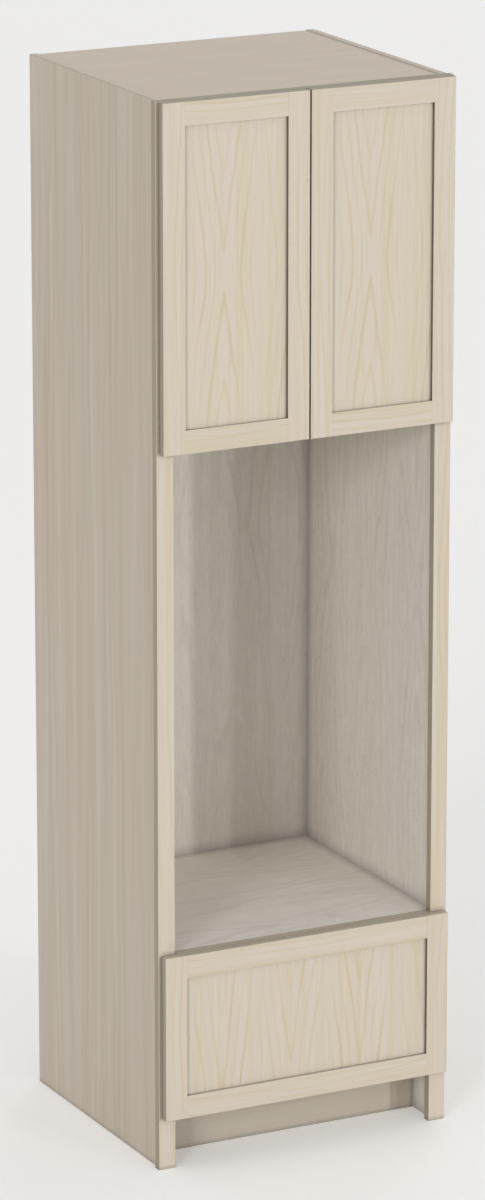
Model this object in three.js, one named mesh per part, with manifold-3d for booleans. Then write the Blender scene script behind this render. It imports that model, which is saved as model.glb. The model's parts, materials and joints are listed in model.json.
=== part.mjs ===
// Tall oven housing unit: a face-frame kitchen cabinet with a two-door cupboard above an open
// oven space and one wide drawer below it. Millimetres, +X right, +Y towards the wall, +Z up.
// The origin is on the floor, under the middle of the whole unit.

import * as THREE from "three";
import { mergeVertices } from "three/addons/utils/BufferGeometryUtils.js";
import Module from "manifold-3d";

const wasm = await Module();
wasm.setup();

const INCH = 25.4;

// The case and its face frame
const FRAME_WIDTH = 27 * INCH;
const UNIT_HEIGHT = 90 * INCH;
const CASE_DEPTH = 24 * INCH;
const BOARD = 0.75 * INCH;
const FRAME_THICKNESS = 0.75 * INCH;
const FRAME_MEMBER = 1.5 * INCH;
const FRAME_OVERHANG = 0.25 * INCH;
const FRAME_ARRIS = 1;

// Heights above the floor
const TOE_HEIGHT = 4.5 * INCH;
const OVEN_FLOOR_Z = 18.75 * INCH;
const OVEN_CEILING_Z = 61.25 * INCH;

// Depths behind the face of the frame, and the back panel
const TOE_RECESS = 3.75 * INCH;
const BACK_THICKNESS = 0.5 * INCH;
const BACK_SET_IN = 0.125 * INCH;
const TOP_SET_DOWN = 1.6;

// Joinery: fit is the play that a glued wood joint keeps on each side
const FIT = 0.2;
const DADO_DEPTH = 0.25 * INCH;
const TONGUE_HEIGHT = 0.5 * INCH;
const RABBET_DEPTH = 0.375 * INCH;

// Pocket screw holes at the ends of the frame rails
const POCKET_RADIUS = 4.7;
const POCKET_PILOT_RADIUS = 1.8;
const POCKET_TILT = THREE.MathUtils.degToRad(15);
const POCKET_FROM_END = 28;
const POCKET_LENGTH = 60;
const POCKET_PILOT_LENGTH = 40;
const POCKET_SPREAD = 0.5 * INCH;

// Doors and drawer front: five pieces each, stiles and rails round a flat panel
const DOOR_THICKNESS = 0.75 * INCH;
const DOOR_MEMBER = 50;
const DOOR_REVEAL = 0.25 * INCH;
const DOOR_GAP = 0.125 * INCH;
const BUMPER_GAP = 2;
const DOOR_ARRIS = 1;
const PANEL_RECESS = 0.3125 * INCH;
const GROOVE_WIDTH = 0.25 * INCH;
const GROOVE_DEPTH = 0.375 * INCH;
const PANEL_PLAY = 0.15;
const PANEL_EDGE_GAP = 1;

// Concealed hinges: places are measured inwards from the door's outer edge (u) and backwards
// from the door's back face (v)
const HINGE_FROM_END = 3.5 * INCH;
const CUP_BORE_RADIUS = 17.5;
const CUP_BORE_FROM_EDGE = 4;
const CUP_BORE_DEPTH = 12;
const CUP_CLEARANCE = 0.3;
const CUP_WALL = 1;
const CUP_FLOOR = 0.8;
const CUP_DEPTH = 11.2;
const CUP_FLANGE_LAP = 0.8;
const CUP_FLANGE_THICKNESS = 1.2;
const CUP_SCREW_SPACING = 45;
const CUP_SCREW_OFFSET = 9.5;
const CUP_EAR_RADIUS = 5.5;
const CUP_NOTCH_FROM_WALL = 8.2;
const CUP_NOTCH_HALF = 7.2;
const CUP_NOTCH_DEPTH = 8;
const HINGE_SCREW_HOLE_RADIUS = 2.1;
const PIN_RADIUS = 1.1;
const PIN_CLEARANCE = 0.3;
const DOOR_PIN_FROM_WALL = 7.11;
const DOOR_PIN_V = -3.87;
const FRAME_PIN_FROM_STILE = 2.59;
const FRAME_PIN_FROM_BORE = 4.66;
const FRAME_PIN_V = -0.14;
const LINK_THICKNESS = 1.8;
const LINK_HALF_WIDTH = 4.7;
const LINK_EYE_RADIUS = 2.4;
const LINK_DIP = [6.82, 2.31];
const LINK_DIP_SHARE = [0.17, 0.56];
const ARM_THICKNESS = 1.8;
const ARM_HALF_HEIGHT = 22;
const ARM_EAR_GAP = 0.3;
const ARM_EAR_THICKNESS = 1.5;
const ARM_EAR_RADIUS = 2.2;
const ARM_SHOULDER_V = 4;
const ARM_SLOT_CLEARANCE = 0.5;
const ARM_SCREW_Z = 15;
const ARM_SIDE_GAP = 0.95;

// Adjustable shelf in the cupboard
const SHELF_THICKNESS = 0.75 * INCH;
const SHELF_SET_BACK = 25;
const SHELF_PLAY = 1.6;
const PIN_ROW_PITCH = 32;
const PIN_ROW_MARGIN = 150;
const PIN_COLUMN_INSET = 60;
const PEG_HOLE_RADIUS = 2.65;
const PEG_HOLE_DEPTH = 10;
const PEG_RADIUS = 2.4;
const PEG_LENGTH = 8.5;
const PEG_NOSE = 1;
const SPOON_LENGTH = 10;
const SPOON_HALF_WIDTH = 5.5;
const SPOON_THICKNESS = 2.2;
const SPOON_RISE = 2;

// Drawer box
const DRAWER_BOARD = 0.625 * INCH;
const DRAWER_BOTTOM_THICKNESS = 0.25 * INCH;
const DRAWER_BOTTOM_RISE = 0.5 * INCH;
const DRAWER_BOTTOM_INSERT = 0.25 * INCH;
const DRAWER_FLOOR_GAP = 0.25 * INCH;
const DRAWER_TOP_GAP = 1.25 * INCH;
const DOVETAIL_COUNT = 5;
const DOVETAIL_SHARE = 0.58;
const DOVETAIL_SLOPE = 1 / 6;

// Ball-bearing runners: depth is measured from the case side towards the drawer
const RUNNER_SPACE = 0.5 * INCH;
const RUNNER_REAR_GAP = 2.375 * INCH;
const RUNNER_FRONT_GAP = 2;
const RUNNER_RISE = 60;
const RUNNER_HEIGHT = 45.7;
const RUNNER_STEEL = 1.2;
const RUNNER_THIN_STEEL = 1;
const RUNNER_BALL_GAP = 2.1;
const RUNNER_LIP_GAP = 0.35;
const RUNNER_CASE_DEPTH = 9.8;
const RUNNER_MIDDLE_FROM = 4.6;
const RUNNER_MIDDLE_TO = 10.9;
const RUNNER_DRAWER_FROM = 5.9;
const RUNNER_HOLE_RADIUS = 2.6;
const RUNNER_HOLE_INSET = 45;
const RUNNER_HOLE_COUNT = 3;

// How finely round forms are faceted, and how far a cutting tool runs past the face it cuts
const ARC_STEPS = 8;
const PEG_HOLE_SIDES = 10;
const POCKET_SIDES = 12;
const PILOT_SIDES = 8;
const CUP_SIDES = 24;
const PIN_SIDES = 12;
const EYE_SIDES = 18;
const EYE_HOLE_SIDES = 14;
const EAR_SIDES = 16;
const SCREW_HOLE_SIDES = 12;
const LINK_STEPS = 14;
const OVERRUN = 1;

// Places that follow from the sizes above
const UNIT_DEPTH = CASE_DEPTH + BUMPER_GAP + DOOR_THICKNESS;
const DOOR_FRONT_Y = -UNIT_DEPTH / 2;
const DOOR_BACK_Y = DOOR_FRONT_Y + DOOR_THICKNESS;
const FRAME_FRONT_Y = DOOR_BACK_Y + BUMPER_GAP;
const FRAME_BACK_Y = FRAME_FRONT_Y + FRAME_THICKNESS;
const REAR_Y = FRAME_FRONT_Y + CASE_DEPTH;
const BACK_INNER_Y = REAR_Y - BACK_SET_IN - BACK_THICKNESS;
const FRAME_OUTER_X = FRAME_WIDTH / 2;
const FRAME_INNER_X = FRAME_OUTER_X - FRAME_MEMBER;
const SIDE_OUTER_X = FRAME_OUTER_X - FRAME_OVERHANG;
const SIDE_INNER_X = SIDE_OUTER_X - BOARD;
const DOOR_OUTER_X = FRAME_OUTER_X - DOOR_REVEAL;
const DOOR_WIDTH = DOOR_OUTER_X - DOOR_GAP / 2;
const DOOR_HEIGHT = UNIT_HEIGHT - OVEN_CEILING_Z;
const DRAWER_FRONT_WIDTH = 2 * DOOR_OUTER_X;
const DRAWER_FRONT_HEIGHT = OVEN_FLOOR_Z - TOE_HEIGHT;
const CUPBOARD_FLOOR_Z = OVEN_CEILING_Z + FRAME_MEMBER;
const DRAWER_OPENING_BOTTOM_Z = TOE_HEIGHT + FRAME_MEMBER;
const DRAWER_OPENING_TOP_Z = OVEN_FLOOR_Z - FRAME_MEMBER;
const TOP_PANEL_Z = UNIT_HEIGHT - TOP_SET_DOWN;
const HANDS = [
  { name: "left", side: -1 },
  { name: "right", side: 1 },
];

const FINISHES = {
  face: { color: 0xd7cab7, roughness: 0.55, metalness: 0 },
  panel: { color: 0xd9cab2, roughness: 0.55, metalness: 0 },
  case: { color: 0xb8ae9e, roughness: 0.6, metalness: 0 },
  inside: { color: 0xb0a89c, roughness: 0.5, metalness: 0 },
  toe: { color: 0xaca092, roughness: 0.6, metalness: 0 },
  drawer: { color: 0xcdbfa6, roughness: 0.5, metalness: 0 },
  nickel: { color: 0xb9b7b2, roughness: 0.3, metalness: 1 },
  zinc: { color: 0xa9abad, roughness: 0.38, metalness: 1 },
};

// Geometry helpers

const X_AXIS = new THREE.Vector3(1, 0, 0);
const Y_AXIS = new THREE.Vector3(0, 1, 0);
const Z_AXIS = new THREE.Vector3(0, 0, 1);

// Two values as a low and a high one.
function range(a, b) {
  return [Math.min(a, b), Math.max(a, b)];
}

// A box between two corners, given as a low and a high value on each axis.
function board([x0, x1], [y0, y1], [z0, z1]) {
  const geometry = new THREE.BoxGeometry(x1 - x0, y1 - y0, z1 - z0);
  return geometry.translate((x0 + x1) / 2, (y0 + y1) / 2, (z0 + z1) / 2);
}

// An outline swept along one axis. Its points are (y, z) for x, (x, z) for y and (x, y) for z.
function sweep(axis, outline, from, to) {
  const shape = outline instanceof THREE.Shape
    ? outline
    : new THREE.Shape(outline.map(([p, q]) => new THREE.Vector2(p, q)));
  const geometry = new THREE.ExtrudeGeometry(shape, {
    depth: to - from,
    bevelEnabled: false,
    curveSegments: ARC_STEPS,
  });
  const place = new THREE.Matrix4();
  if (axis === "x") {
    place.makeBasis(Y_AXIS, Z_AXIS, X_AXIS).setPosition(from, 0, 0);
  } else if (axis === "y") {
    place.makeBasis(X_AXIS, Z_AXIS, Y_AXIS.clone().negate()).setPosition(0, to, 0);
  } else {
    place.setPosition(0, 0, from);
  }
  return geometry.applyMatrix4(place);
}

// A round bar along one axis; centre holds the two coordinates across that axis.
function bar(axis, centre, radius, from, to, sides) {
  const geometry = new THREE.CylinderGeometry(radius, radius, to - from, sides);
  const middle = (from + to) / 2;
  const [p, q] = centre;
  if (axis === "x") {
    return geometry.rotateZ(Math.PI / 2).translate(middle, p, q);
  }
  if (axis === "y") {
    return geometry.translate(p, middle, q);
  }
  return geometry.rotateX(Math.PI / 2).translate(p, q, middle);
}

// The closed outline of a strip of sheet that follows a centre line, with mitred corners.
function stripOutline(centreLine, thickness) {
  const points = centreLine.map(([p, q]) => new THREE.Vector2(p, q));
  const near = [];
  const far = [];
  points.forEach((point, index) => {
    const before = points[Math.max(index - 1, 0)];
    const after = points[Math.min(index + 1, points.length - 1)];
    const ahead = after.clone().sub(point).normalize();
    const behind = point.clone().sub(before).normalize();
    const directionIn = index === 0 ? ahead : behind;
    const directionOut = index === points.length - 1 ? behind : ahead;
    const normalIn = new THREE.Vector2(-directionIn.y, directionIn.x);
    const normalOut = new THREE.Vector2(-directionOut.y, directionOut.x);
    const mitre = normalIn.clone().add(normalOut).normalize();
    const reach = thickness / 2 / mitre.dot(normalIn);
    near.push([point.x + mitre.x * reach, point.y + mitre.y * reach]);
    far.unshift([point.x - mitre.x * reach, point.y - mitre.y * reach]);
  });
  return [...near, ...far];
}

// A closed solid from a geometry: shared corners are merged and collapsed triangles dropped.
function solid(geometry) {
  if (geometry instanceof wasm.Manifold) {
    return geometry;
  }
  const bare = geometry.clone();
  bare.deleteAttribute("normal");
  bare.deleteAttribute("uv");
  const merged = mergeVertices(bare, 1e-4);
  const corners = merged.index.array;
  const kept = [];
  for (let i = 0; i < corners.length; i += 3) {
    const [a, b, c] = corners.slice(i, i + 3);
    if (a !== b && b !== c && c !== a) {
      kept.push(a, b, c);
    }
  }
  return new wasm.Manifold(
    new wasm.Mesh({
      numProp: 3,
      vertProperties: Float32Array.from(merged.attributes.position.array),
      triVerts: Uint32Array.from(kept),
    }),
  );
}

function join(first, ...others) {
  return others.reduce((whole, other) => whole.add(solid(other)), solid(first));
}

function cut(first, ...tools) {
  return tools.reduce((whole, tool) => whole.subtract(solid(tool)), solid(first));
}

function meshGeometry(body) {
  const mesh = body.getMesh();
  const geometry = new THREE.BufferGeometry();
  geometry.setAttribute("position", new THREE.BufferAttribute(mesh.vertProperties, 3));
  geometry.setIndex(new THREE.BufferAttribute(mesh.triVerts, 1));
  geometry.computeVertexNormals();
  return geometry;
}

function addPiece(group, name, shape, finish) {
  const material = new THREE.MeshStandardMaterial(FINISHES[finish]);
  const mesh = new THREE.Mesh(meshGeometry(solid(shape)), material);
  mesh.name = name;
  group.add(mesh);
}

// Case: two sides that run to the floor, boards between them, a back and a toe board

const PIN_COLUMNS_Y = [FRAME_BACK_Y + PIN_COLUMN_INSET, BACK_INNER_Y - PIN_COLUMN_INSET];

// Heights of the rows of shelf pin holes, as many as the cupboard has room for.
function pinRows() {
  const rows = [];
  const highest = UNIT_HEIGHT - FRAME_MEMBER - PIN_ROW_MARGIN;
  for (let z = CUPBOARD_FLOOR_Z + PIN_ROW_MARGIN; z <= highest; z += PIN_ROW_PITCH) {
    rows.push(z);
  }
  return rows.length > 0 ? rows : [(CUPBOARD_FLOOR_Z + UNIT_HEIGHT - FRAME_MEMBER) / 2];
}

const PIN_ROWS = pinRows();
const SHELF_ROW_Z = PIN_ROWS[Math.floor(PIN_ROWS.length / 2)];

// The three boards that are housed in both sides, by the height of their upper faces.
const HOUSED_BOARDS = [
  { name: "cupboard_floor", top: CUPBOARD_FLOOR_Z },
  { name: "oven_deck", top: OVEN_FLOOR_Z },
  { name: "bottom_panel", top: DRAWER_OPENING_BOTTOM_Z },
];

function sidePanel(side) {
  const across = (from, to) => range(side * from, side * to);
  const inner = across(SIDE_INNER_X - FIT, SIDE_INNER_X + DADO_DEPTH);
  const dados = HOUSED_BOARDS.map(({ top }) => board(
    inner,
    [FRAME_BACK_Y - FIT, BACK_INNER_Y + FIT],
    [top - BOARD - FIT, top - BOARD + TONGUE_HEIGHT + FIT],
  ));
  const rabbet = board(
    across(SIDE_INNER_X - FIT, SIDE_INNER_X + RABBET_DEPTH),
    [BACK_INNER_Y - FIT, REAR_Y + FIT],
    [-FIT, UNIT_HEIGHT - TOP_SET_DOWN - BOARD + RABBET_DEPTH],
  );
  const [holeFrom, holeTo] = across(SIDE_INNER_X - FIT, SIDE_INNER_X + PEG_HOLE_DEPTH);
  const holes = PIN_COLUMNS_Y.flatMap((y) => PIN_ROWS.map(
    (z) => bar("x", [y, z], PEG_HOLE_RADIUS, holeFrom, holeTo, PEG_HOLE_SIDES),
  ));
  const blank = board(across(SIDE_INNER_X, SIDE_OUTER_X), [FRAME_BACK_Y, REAR_Y], [0, UNIT_HEIGHT]);
  return cut(blank, ...dados, rabbet, ...holes);
}

function housedBoard(top) {
  const depth = [FRAME_BACK_Y, BACK_INNER_Y];
  const tongue = SIDE_INNER_X + DADO_DEPTH - FIT;
  const shoulder = SIDE_INNER_X - FIT;
  return join(
    board([-shoulder, shoulder], depth, [top - BOARD, top]),
    board([-tongue, tongue], depth, [top - BOARD, top - BOARD + TONGUE_HEIGHT]),
  );
}

function topPanel() {
  const underside = TOP_PANEL_Z - BOARD;
  return cut(
    board([-SIDE_INNER_X, SIDE_INNER_X], [FRAME_BACK_Y, REAR_Y], [underside, TOP_PANEL_Z]),
    board(
      [-SIDE_INNER_X - FIT, SIDE_INNER_X + FIT],
      [BACK_INNER_Y - FIT, REAR_Y + FIT],
      [underside - FIT, underside + RABBET_DEPTH],
    ),
  );
}

function backPanel() {
  const half = SIDE_INNER_X + RABBET_DEPTH - FIT;
  const top = TOP_PANEL_Z - BOARD + RABBET_DEPTH - FIT;
  return board(
    [-half, half],
    [BACK_INNER_Y, BACK_INNER_Y + BACK_THICKNESS],
    [DRAWER_OPENING_BOTTOM_Z - BOARD, top],
  );
}

function buildCase() {
  const group = new THREE.Group();
  for (const { name, side } of HANDS) {
    addPiece(group, `side_panel_${name}`, sidePanel(side), "case");
    const support = range(side * FRAME_INNER_X, side * SIDE_INNER_X);
    const supportDepth = [FRAME_BACK_Y, BACK_INNER_Y];
    const supportHeight = [DRAWER_OPENING_BOTTOM_Z, OVEN_FLOOR_Z - BOARD];
    addPiece(group, `deck_support_${name}`, board(support, supportDepth, supportHeight), "inside");
  }
  for (const { name, top } of HOUSED_BOARDS) {
    addPiece(group, name, housedBoard(top), "inside");
  }
  addPiece(group, "top_panel", topPanel(), "case");
  addPiece(group, "back_panel", backPanel(), "inside");
  const toeFront = FRAME_FRONT_Y + TOE_RECESS;
  addPiece(group, "toe_kick_board", board(
    [-SIDE_INNER_X, SIDE_INNER_X],
    [toeFront, toeFront + BOARD],
    [0, DRAWER_OPENING_BOTTOM_Z - BOARD],
  ), "toe");
  return group;
}

// Face frame: two full-height stiles and four rails, pocket-screwed from behind

function frameStile(side) {
  const x = (distance) => side * distance;
  return sweep("z", [
    [x(FRAME_INNER_X), FRAME_FRONT_Y],
    [x(FRAME_OUTER_X - FRAME_ARRIS), FRAME_FRONT_Y],
    [x(FRAME_OUTER_X), FRAME_FRONT_Y + FRAME_ARRIS],
    [x(FRAME_OUTER_X), FRAME_BACK_Y],
    [x(FRAME_INNER_X), FRAME_BACK_Y],
  ], 0, UNIT_HEIGHT);
}

// A stepped drill that enters the rail's back and runs out through its end.
function pocketDrill(side, z) {
  const profile = [
    [0, 0],
    [POCKET_RADIUS, 0],
    [POCKET_RADIUS, POCKET_LENGTH],
    [0, POCKET_LENGTH],
  ].map(([radius, along]) => new THREE.Vector2(radius, along));
  const pilot = new THREE.CylinderGeometry(
    POCKET_PILOT_RADIUS,
    POCKET_PILOT_RADIUS,
    POCKET_PILOT_LENGTH,
    PILOT_SIDES,
  ).translate(0, OVERRUN - POCKET_PILOT_LENGTH / 2, 0);
  const drill = join(new THREE.LatheGeometry(profile, POCKET_SIDES), pilot);
  const geometry = meshGeometry(drill);
  geometry.rotateZ(side * (Math.PI / 2 - POCKET_TILT));
  const reach = FRAME_THICKNESS / 2;
  const footX = side * (FRAME_INNER_X - POCKET_FROM_END / 2);
  return geometry.translate(footX, FRAME_BACK_Y - reach, z);
}

function frameRail(bottom) {
  const middle = bottom + FRAME_MEMBER / 2;
  const drills = HANDS.flatMap(({ side }) => [-1, 1].map(
    (row) => pocketDrill(side, middle + row * POCKET_SPREAD),
  ));
  return cut(
    board([-FRAME_INNER_X, FRAME_INNER_X], [FRAME_FRONT_Y, FRAME_BACK_Y], [bottom, bottom + FRAME_MEMBER]),
    ...drills,
  );
}

function buildFaceFrame() {
  const group = new THREE.Group();
  for (const { name, side } of HANDS) {
    addPiece(group, `frame_stile_${name}`, frameStile(side), "face");
  }
  const rails = [
    ["frame_rail_top", UNIT_HEIGHT - FRAME_MEMBER],
    ["frame_rail_over_oven", OVEN_CEILING_Z],
    ["frame_rail_under_oven", OVEN_FLOOR_Z - FRAME_MEMBER],
    ["frame_rail_bottom", TOE_HEIGHT],
  ];
  for (const [name, bottom] of rails) {
    addPiece(group, name, frameRail(bottom), "face");
  }
  return group;
}

// Where the hinges sit: the frame pin clears both the stile's edge and the rim of the cup's bore,
// and the cup lies round it.

const HINGE_HEIGHTS = [
  { name: "lower", z: HINGE_FROM_END },
  { name: "upper", z: DOOR_HEIGHT - HINGE_FROM_END },
];
const STILE_EDGE_U = FRAME_MEMBER - DOOR_REVEAL;
const FRAME_PIN_U = Math.max(
  STILE_EDGE_U + FRAME_PIN_FROM_STILE,
  CUP_BORE_FROM_EDGE + 2 * CUP_BORE_RADIUS - FRAME_PIN_FROM_BORE,
);
const CUP_CENTRE_U = FRAME_PIN_U + FRAME_PIN_FROM_BORE - CUP_BORE_RADIUS;
const CUP_RADIUS = CUP_BORE_RADIUS - CUP_CLEARANCE;
const CUP_FLANGE_RADIUS = CUP_BORE_RADIUS + CUP_FLANGE_LAP;
const DOOR_PIN_FROM_CENTRE = CUP_RADIUS - DOOR_PIN_FROM_WALL;
const DOOR_PIN = [CUP_CENTRE_U - DOOR_PIN_FROM_CENTRE, DOOR_PIN_V];
const FRAME_PIN = [FRAME_PIN_U, FRAME_PIN_V];

// Five-piece fronts, built from their lower left corner: x across, y back from the face, z up

// The eased outer shape that every member of a front is trimmed to.
function easedBlank(width, height) {
  const inset = DOOR_ARRIS;
  const shape = new THREE.Shape([
    new THREE.Vector2(inset, inset),
    new THREE.Vector2(width - inset, inset),
    new THREE.Vector2(width - inset, height - inset),
    new THREE.Vector2(inset, height - inset),
  ]);
  const geometry = new THREE.ExtrudeGeometry(shape, {
    depth: DOOR_THICKNESS - 2 * inset,
    bevelEnabled: true,
    bevelThickness: inset,
    bevelSize: inset,
    bevelSegments: 1,
  });
  const place = new THREE.Matrix4();
  place.makeBasis(X_AXIS, Z_AXIS, Y_AXIS.clone().negate()).setPosition(0, DOOR_THICKNESS - inset, 0);
  return geometry.applyMatrix4(place);
}

function frontStile(width, height, side) {
  const outer = side < 0 ? 0 : width;
  const inner = outer - side * DOOR_MEMBER;
  const grooveFloor = inner + side * GROOVE_DEPTH;
  const outline = [
    [outer, 0],
    [inner, 0],
    [inner, PANEL_RECESS],
    [grooveFloor, PANEL_RECESS],
    [grooveFloor, PANEL_RECESS + GROOVE_WIDTH],
    [inner, PANEL_RECESS + GROOVE_WIDTH],
    [inner, DOOR_THICKNESS],
    [outer, DOOR_THICKNESS],
  ];
  return solid(sweep("z", outline, 0, height)).intersect(solid(easedBlank(width, height)));
}

// A rail between the stiles, with a stub tenon at each end that fills their grooves.
function frontRail(width, height, end) {
  const outer = end < 0 ? 0 : height;
  const inner = outer - end * DOOR_MEMBER;
  const grooveFloor = inner + end * GROOVE_DEPTH;
  const outline = [
    [0, outer],
    [0, inner],
    [PANEL_RECESS, inner],
    [PANEL_RECESS, grooveFloor],
    [PANEL_RECESS + GROOVE_WIDTH, grooveFloor],
    [PANEL_RECESS + GROOVE_WIDTH, inner],
    [DOOR_THICKNESS, inner],
    [DOOR_THICKNESS, outer],
  ];
  const tenon = DOOR_MEMBER - GROOVE_DEPTH + FIT;
  const rail = join(
    sweep("x", outline, DOOR_MEMBER, width - DOOR_MEMBER),
    board(
      [tenon, width - tenon],
      [PANEL_RECESS + PANEL_PLAY, PANEL_RECESS + GROOVE_WIDTH - PANEL_PLAY],
      range(outer, grooveFloor),
    ),
  );
  return rail.intersect(solid(easedBlank(width, height)));
}

function frontPanel(width, height) {
  const edge = DOOR_MEMBER - GROOVE_DEPTH + PANEL_EDGE_GAP;
  const depth = [PANEL_RECESS + PANEL_PLAY, PANEL_RECESS + GROOVE_WIDTH - PANEL_PLAY];
  return board([edge, width - edge], depth, [edge, height - edge]);
}

// The 35 mm bores that take the hinge cups, in a hinge stile's back.
function cupBores(width, side) {
  const x = side < 0 ? CUP_CENTRE_U : width - CUP_CENTRE_U;
  return HINGE_HEIGHTS.map(({ z }) => bar(
    "y",
    [x, z],
    CUP_BORE_RADIUS,
    DOOR_THICKNESS - CUP_BORE_DEPTH,
    DOOR_THICKNESS + OVERRUN,
    CUP_SIDES,
  ));
}

function buildDoor({ name, side }) {
  const group = new THREE.Group();
  const hingeStile = frontStile(DOOR_WIDTH, DOOR_HEIGHT, side);
  addPiece(group, `door_${name}_hinge_stile`, cut(hingeStile, ...cupBores(DOOR_WIDTH, side)), "face");
  addPiece(group, `door_${name}_meeting_stile`, frontStile(DOOR_WIDTH, DOOR_HEIGHT, -side), "face");
  addPiece(group, `door_${name}_top_rail`, frontRail(DOOR_WIDTH, DOOR_HEIGHT, 1), "face");
  addPiece(group, `door_${name}_bottom_rail`, frontRail(DOOR_WIDTH, DOOR_HEIGHT, -1), "face");
  addPiece(group, `door_${name}_panel`, frontPanel(DOOR_WIDTH, DOOR_HEIGHT), "panel");
  const left = side < 0 ? -DOOR_OUTER_X : DOOR_OUTER_X - DOOR_WIDTH;
  group.position.set(left, DOOR_FRONT_Y, OVEN_CEILING_Z);
  return group;
}

function buildDrawerFront() {
  const group = new THREE.Group();
  const size = [DRAWER_FRONT_WIDTH, DRAWER_FRONT_HEIGHT];
  addPiece(group, "drawer_front_stile_left", frontStile(...size, -1), "face");
  addPiece(group, "drawer_front_stile_right", frontStile(...size, 1), "face");
  addPiece(group, "drawer_front_top_rail", frontRail(...size, 1), "face");
  addPiece(group, "drawer_front_bottom_rail", frontRail(...size, -1), "face");
  addPiece(group, "drawer_front_panel", frontPanel(...size), "panel");
  group.position.set(-DOOR_OUTER_X, DOOR_FRONT_Y, TOE_HEIGHT);
  return group;
}

// Hinges: the cup is let into the door, the arm wraps the frame stile, and a goose-neck link
// swings between a pin in the cup and a pin in the arm. Each hinge is built round the door's
// outer back edge at its own height.

// Turns a distance in from the door's edge into x, for a left or right door.
function acrossDoor(side) {
  return (u) => -side * u;
}

function hingeCup(side) {
  const x = acrossDoor(side);
  const inside = CUP_RADIUS - CUP_WALL;
  const profile = [
    [0, -CUP_DEPTH],
    [CUP_RADIUS, -CUP_DEPTH],
    [CUP_RADIUS, FIT],
    [CUP_FLANGE_RADIUS, FIT],
    [CUP_FLANGE_RADIUS, CUP_FLANGE_THICKNESS],
    [inside, CUP_FLANGE_THICKNESS],
    [inside, CUP_FLOOR - CUP_DEPTH],
    [0, CUP_FLOOR - CUP_DEPTH],
  ].map(([radius, y]) => new THREE.Vector2(radius, y));
  const cup = new THREE.LatheGeometry(profile, CUP_SIDES).translate(x(CUP_CENTRE_U), 0, 0);
  const screwX = x(CUP_CENTRE_U + CUP_SCREW_OFFSET);
  const ears = new THREE.Shape();
  ears.absarc(screwX, CUP_SCREW_SPACING / 2, CUP_EAR_RADIUS, 0, Math.PI);
  ears.absarc(screwX, -CUP_SCREW_SPACING / 2, CUP_EAR_RADIUS, Math.PI, 2 * Math.PI);
  const cutDepth = [-OVERRUN, CUP_FLANGE_THICKNESS + OVERRUN];
  const plate = cut(
    sweep("y", ears, FIT, CUP_FLANGE_THICKNESS),
    bar("y", [x(CUP_CENTRE_U), 0], inside + CUP_WALL / 2, ...cutDepth, CUP_SIDES),
  );
  const screwHoles = [-1, 1].map((end) => bar(
    "y",
    [screwX, (end * CUP_SCREW_SPACING) / 2],
    HINGE_SCREW_HOLE_RADIUS,
    ...cutDepth,
    SCREW_HOLE_SIDES,
  ));
  const notch = board(
    range(
      x(CUP_CENTRE_U + CUP_RADIUS - CUP_NOTCH_FROM_WALL),
      x(CUP_CENTRE_U + CUP_FLANGE_RADIUS + CUP_EAR_RADIUS),
    ),
    [-CUP_NOTCH_DEPTH, CUP_FLANGE_THICKNESS + OVERRUN],
    [-CUP_NOTCH_HALF, CUP_NOTCH_HALF],
  );
  const halfChord = Math.sqrt(inside ** 2 - DOOR_PIN_FROM_CENTRE ** 2) + CUP_WALL / 2;
  const pin = bar("z", [x(DOOR_PIN[0]), DOOR_PIN[1]], PIN_RADIUS, -halfChord, halfChord, PIN_SIDES);
  return join(cut(join(cup, plate), notch, ...screwHoles), pin);
}

function hingeLink(side) {
  const x = acrossDoor(side);
  const span = FRAME_PIN[0] - DOOR_PIN[0];
  const curve = new THREE.CubicBezierCurve(
    new THREE.Vector2(...DOOR_PIN),
    new THREE.Vector2(DOOR_PIN[0] + span * LINK_DIP_SHARE[0], DOOR_PIN[1] - LINK_DIP[0]),
    new THREE.Vector2(DOOR_PIN[0] + span * LINK_DIP_SHARE[1], DOOR_PIN[1] - LINK_DIP[1]),
    new THREE.Vector2(...FRAME_PIN),
  );
  const centreLine = curve.getPoints(LINK_STEPS).map(({ x: u, y: v }) => [x(u), v]);
  const width = [-LINK_HALF_WIDTH, LINK_HALF_WIDTH];
  const pins = [DOOR_PIN, FRAME_PIN].map(([u, v]) => [x(u), v]);
  const eyes = pins.map((pin) => bar("z", pin, LINK_EYE_RADIUS, ...width, EYE_SIDES));
  const holes = pins.map((pin) => bar(
    "z",
    pin,
    PIN_RADIUS + PIN_CLEARANCE,
    -LINK_HALF_WIDTH - OVERRUN,
    LINK_HALF_WIDTH + OVERRUN,
    EYE_HOLE_SIDES,
  ));
  return cut(join(sweep("z", stripOutline(centreLine, LINK_THICKNESS), ...width), ...eyes), ...holes);
}

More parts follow.
